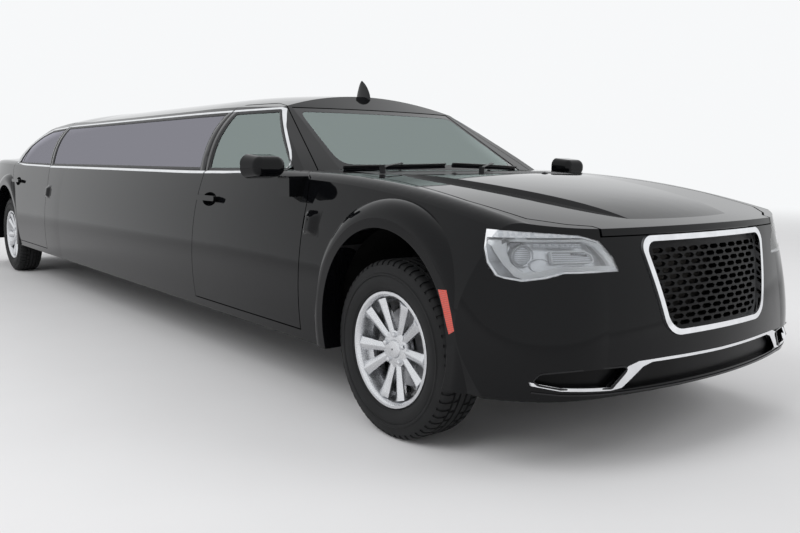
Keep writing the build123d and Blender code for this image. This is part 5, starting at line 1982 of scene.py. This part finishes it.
@dataclass
class EngineBay:
    """What lies on and round the engine."""

    finishes: Finishes
    top: float = 0.8602
    nose: float = front(0.3305)
    fan: Point = (3.698, 0.0, 0.56)

    def build(self) -> None:
        """Make them all."""
        self.engine()
        self.boxes()
        self.belts()

    def engine(self) -> None:
        """The cover on the engine, its inlet pipes and the cylinder heads."""
        fit, high = self.finishes.fit, 0.882
        cover = Bench.box("cover", (2.86, -0.13, self.top), (3.4, 0.13, high), 0.008, 3)
        ribs = [
            Bench.bar("rib", [(2.9, y, high), (3.36, y, high)], 0.005, 10)
            for y in (-0.09, -0.045, 0, 0.045, 0.09)
        ]
        fit([cover, *ribs], "engine_cover", "gloss_black", "black_plastic")
        bend = ((0.12, 0.868), (0.165, 0.872), (0.2, 0.862), (0.222, 0.835), (0.232, 0.8))
        inlets = [
            Bench.bar("inlet", [(x, side * y, z) for y, z in bend], 0.017, 14)
            for side in (-1, 1) for x in (2.93 + 0.13 * k for k in range(4))
        ]
        fit(inlets, "inlet_pipes", "lamp_smoke", "cast")
        heads = [
            Bench.box("head", (2.86, y, 0.7), (3.42, y + 0.03, 0.8), 0.01) for y in (-0.278, 0.248)
        ]
        fit(heads, "cylinder_heads", "lamp_smoke", "cast")

    def boxes(self) -> None:
        """The air box with its duct, the battery, the coolant tank with its cap, and the top hose."""
        fit = self.finishes.fit
        air = Bench.box("air", (3.16, -0.43, 0.62), (3.42, -0.282, 0.8), 0.016, 3)
        lid = Bench.box("air_lid", (3.155, -0.434, 0.76), (3.425, -0.28, 0.772), 0.003)
        duct = Bench.bar("duct", [
            (3.42, -0.35, 0.74), (3.5, -0.345, 0.76), (3.56, -0.29, 0.79), (3.56, -0.16, 0.812),
            (3.5, -0.06, 0.835), (3.4, -0.03, 0.862),
        ], 0.03, 18)
        battery = Bench.box("battery", (3.13, 0.285, 0.6), (3.38, 0.44, 0.775), 0.006)
        poles = [Bench.bar("pole", [(3.17, y, 0.775), (3.17, y, 0.792)], 0.009, 14) for y in (0.315, 0.41)]
        fit([air, lid, duct, battery], "air_box_battery", "cabin_plastic", "black_plastic")
        fit(poles, "battery_poles", "lamp_smoke", "steel")
        tank = Bench.box("tank", (3.44, 0.3, 0.64), (3.57, 0.42, 0.76), 0.022, 4)
        neck = Bench.bar("neck", [(3.505, 0.36, 0.755), (3.505, 0.36, 0.775)], 0.022, 24)
        fit([tank, neck], "coolant_tank", "lamp_milk", "lamp_body")
        cap = Bench.bar("cap", [(3.505, 0.36, 0.775), (3.505, 0.36, 0.79)], 0.026, 24)
        hose = Bench.bar("hose", [
            (self.nose - 0.01, 0.11, 0.8), (3.56, 0.115, 0.806), (3.64, 0.15, 0.79),
            (3.69, 0.19, 0.765), (3.722, 0.2, 0.76),
        ], 0.02, 16)
        fit([cap, hose], "hose_cap", "gloss_black", "black_plastic")

    def belts(self) -> None:
        """The pulleys on the engine's nose and the cooling fan in its ring."""
        pulleys = [
            Bench.dial("pulley", [
                (0.004, -0.03), (radius * 0.35, -0.03), (radius * 0.4, -0.014), (radius * 0.8, -0.014),
                (radius, -0.03), (radius, -0.024), (radius - 0.004, -0.018), (radius, -0.012), (radius, 0.0),
            ], 40, (self.nose, y, z))
            for y, z, radius in (
                (0.0, 0.42, 0.085), (0.11, 0.56, 0.055), (-0.12, 0.58, 0.06), (0.0, 0.7, 0.048),
            )
        ]
        self.finishes.fit(pulleys, "pulleys", "lamp_smoke", "steel")
        rim = [(0.2, -0.02), (0.214, -0.02), (0.214, 0.02), (0.2, 0.02), (0.2, -0.02)]
        hub = [(0.004, 0.022), (0.045, 0.022), (0.05, 0.016), (0.05, -0.018), (0.004, -0.018)]
        fan = [Bench.dial("ring", rim, 64, self.fan), Bench.dial("hub", hub, 32, self.fan)]
        for turn in circle(7):
            way = Vector((0, math.cos(turn), math.sin(turn)))
            line = [Vector(self.fan) + way * reach for reach in (0.045, 0.12, 0.196)]
            fan.append(Bench.bar("blade", line, 0.022, 10, 0.2))
        self.finishes.fit(fan, "cooling_fan", "cabin_plastic", "black_plastic")


@dataclass
class Studio:
    """The floor, the backdrop, the lamps and the camera."""

    eye: Point = (5.658, -2.781, 1.086)
    yaw: float = 142.05
    pitch: float = -7.33
    roll: float = 0.44
    lens: float = 36.57
    floor_colour: Point = (0.8, 0.8, 0.81)
    backdrop: Point = (0.93, 0.94, 0.95)
    daylight: float = 0.62
    fading: Pair = (7.0, 19.0)
    lamps: tuple[tuple[str, Point, Point, float, float], ...] = (
        ("key", (3.5, -8.5, 7.5), (0.5, 0.0, 0.6), 6.0, 520.0),
        ("fill", (9.5, 5.0, 5.0), (1.5, 0.0, 0.6), 5.0, 240.0),
        ("back", (-7.5, 5.5, 7.0), (-1.5, 0.0, 0.8), 6.0, 320.0),
    )

    def build(self) -> None:
        """Make the stage."""
        self.floor()
        self.world()
        for name, place, aim, size, power in self.lamps:
            self.lamp(name, Vector(place), Vector(aim), size, power)
        self.camera()
        bpy.context.scene.view_settings.view_transform = "Standard"

    def floor(self) -> None:
        """A wide pale floor."""
        Bench.clear()
        bpy.ops.mesh.primitive_circle_add(vertices=96, radius=60.0, fill_type="NGON", location=(0, 0, 0))
        floor = bpy.context.object
        floor.name = "studio_floor"
        shader = Shader("floor_pale")
        shader.set(Roughness=0.9, Specular_IOR_Level=0.1)
        dark = tuple(c * 0.985 for c in self.floor_colour)
        shader.colour(shader.ramp(shader.noise(0.5, 4.0), dark, self.floor_colour))
        self.fade(shader)
        floor.data.materials.append(shader.material)

    def fade(self, shader: Shader) -> None:
        """Let the far floor pass into the backdrop's colour, for the camera, mirrors and glass."""
        length = shader.add("ShaderNodeVectorMath", operation="LENGTH")
        shader.link(shader.place(), length.inputs[0])
        reach = shader.add("ShaderNodeMapRange", interpolation_type="SMOOTHSTEP")
        reach.inputs["From Min"].default_value, reach.inputs["From Max"].default_value = self.fading
        shader.link(length.outputs["Value"], reach.inputs["Value"])
        share = shader.work("MULTIPLY", reach.outputs["Result"], shader.seen("Camera", "Glossy"))
        far = shader.add("ShaderNodeEmission")
        far.inputs["Color"].default_value = (*self.backdrop, 1)
        shader.blend(share, shader.surface, far)

    def world(self) -> None:
        """Even light, with a white background for the camera, mirrors and glass."""
        world = bpy.data.worlds.new("studio_world")
        bpy.context.scene.world = world
        world.use_nodes = True
        graph = Graph(world.node_tree)
        back = graph.tree.nodes["Background"]
        back.inputs["Strength"].default_value = self.daylight
        back.inputs["Color"].default_value = (1, 1, 1, 1)
        white = graph.add("ShaderNodeBackground")
        white.inputs["Color"].default_value = (*self.backdrop, 1)
        graph.blend(graph.seen("Camera", "Glossy", "Transmission"), back, white)

    @staticmethod
    def lamp(name: str, place: Vector, aim: Vector, size: float, power: float) -> None:
        """A soft square lamp that faces the aim, its side in metres and its power in watts."""
        data = bpy.data.lights.new(name, "AREA")
        data.size = size
        data.energy = power
        lamp = bpy.data.objects.new(name, data)
        lamp.location = place
        lamp.visible_glossy = False
        lamp.rotation_euler = (aim - place).to_track_quat("-Z", "Y").to_euler()
        bpy.context.scene.collection.objects.link(lamp)

    def camera(self) -> None:
        """The camera at the photograph's place."""
        data = bpy.data.cameras.new("camera")
        data.lens = self.lens
        data.sensor_width = 36.0
        data.clip_end = 200.0
        camera = bpy.data.objects.new("camera", data)
        yaw, pitch = math.radians(self.yaw), math.radians(self.pitch)
        ahead = Vector((math.cos(yaw) * math.cos(pitch), math.sin(yaw) * math.cos(pitch), math.sin(pitch)))
        turn = ahead.to_track_quat("-Z", "Y").to_matrix().to_4x4()
        turn @= Matrix.Rotation(math.radians(self.roll), 4, "Z")
        camera.matrix_world = Matrix.Translation(self.eye) @ turn
        bpy.context.scene.collection.objects.link(camera)
        bpy.context.scene.camera = camera


def main() -> None:
    """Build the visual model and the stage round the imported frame."""
    logging.basicConfig(level=logging.INFO, format="%(name)s: %(message)s")
    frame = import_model()
    finishes = Finishes()
    dress(frame, finishes)
    Wheels(finishes).build()
    surface = Surface(frame, SKIN_NODES)
    trimmer = Trimmer(surface, finishes)
    for kind in (SideTrims, Wipers, Headlamps, NoseTrims, Screens, HingeCovers, TailTrims):
        kind(trimmer).build()
    for kind in (RoofFin, TailPipes, Seats):
        kind(finishes).build()
    Cabin(finishes, frame).build()
    EngineBay(finishes).build()
    surface.drop()
    Studio().build()


if __name__ == "__main__":
    main()
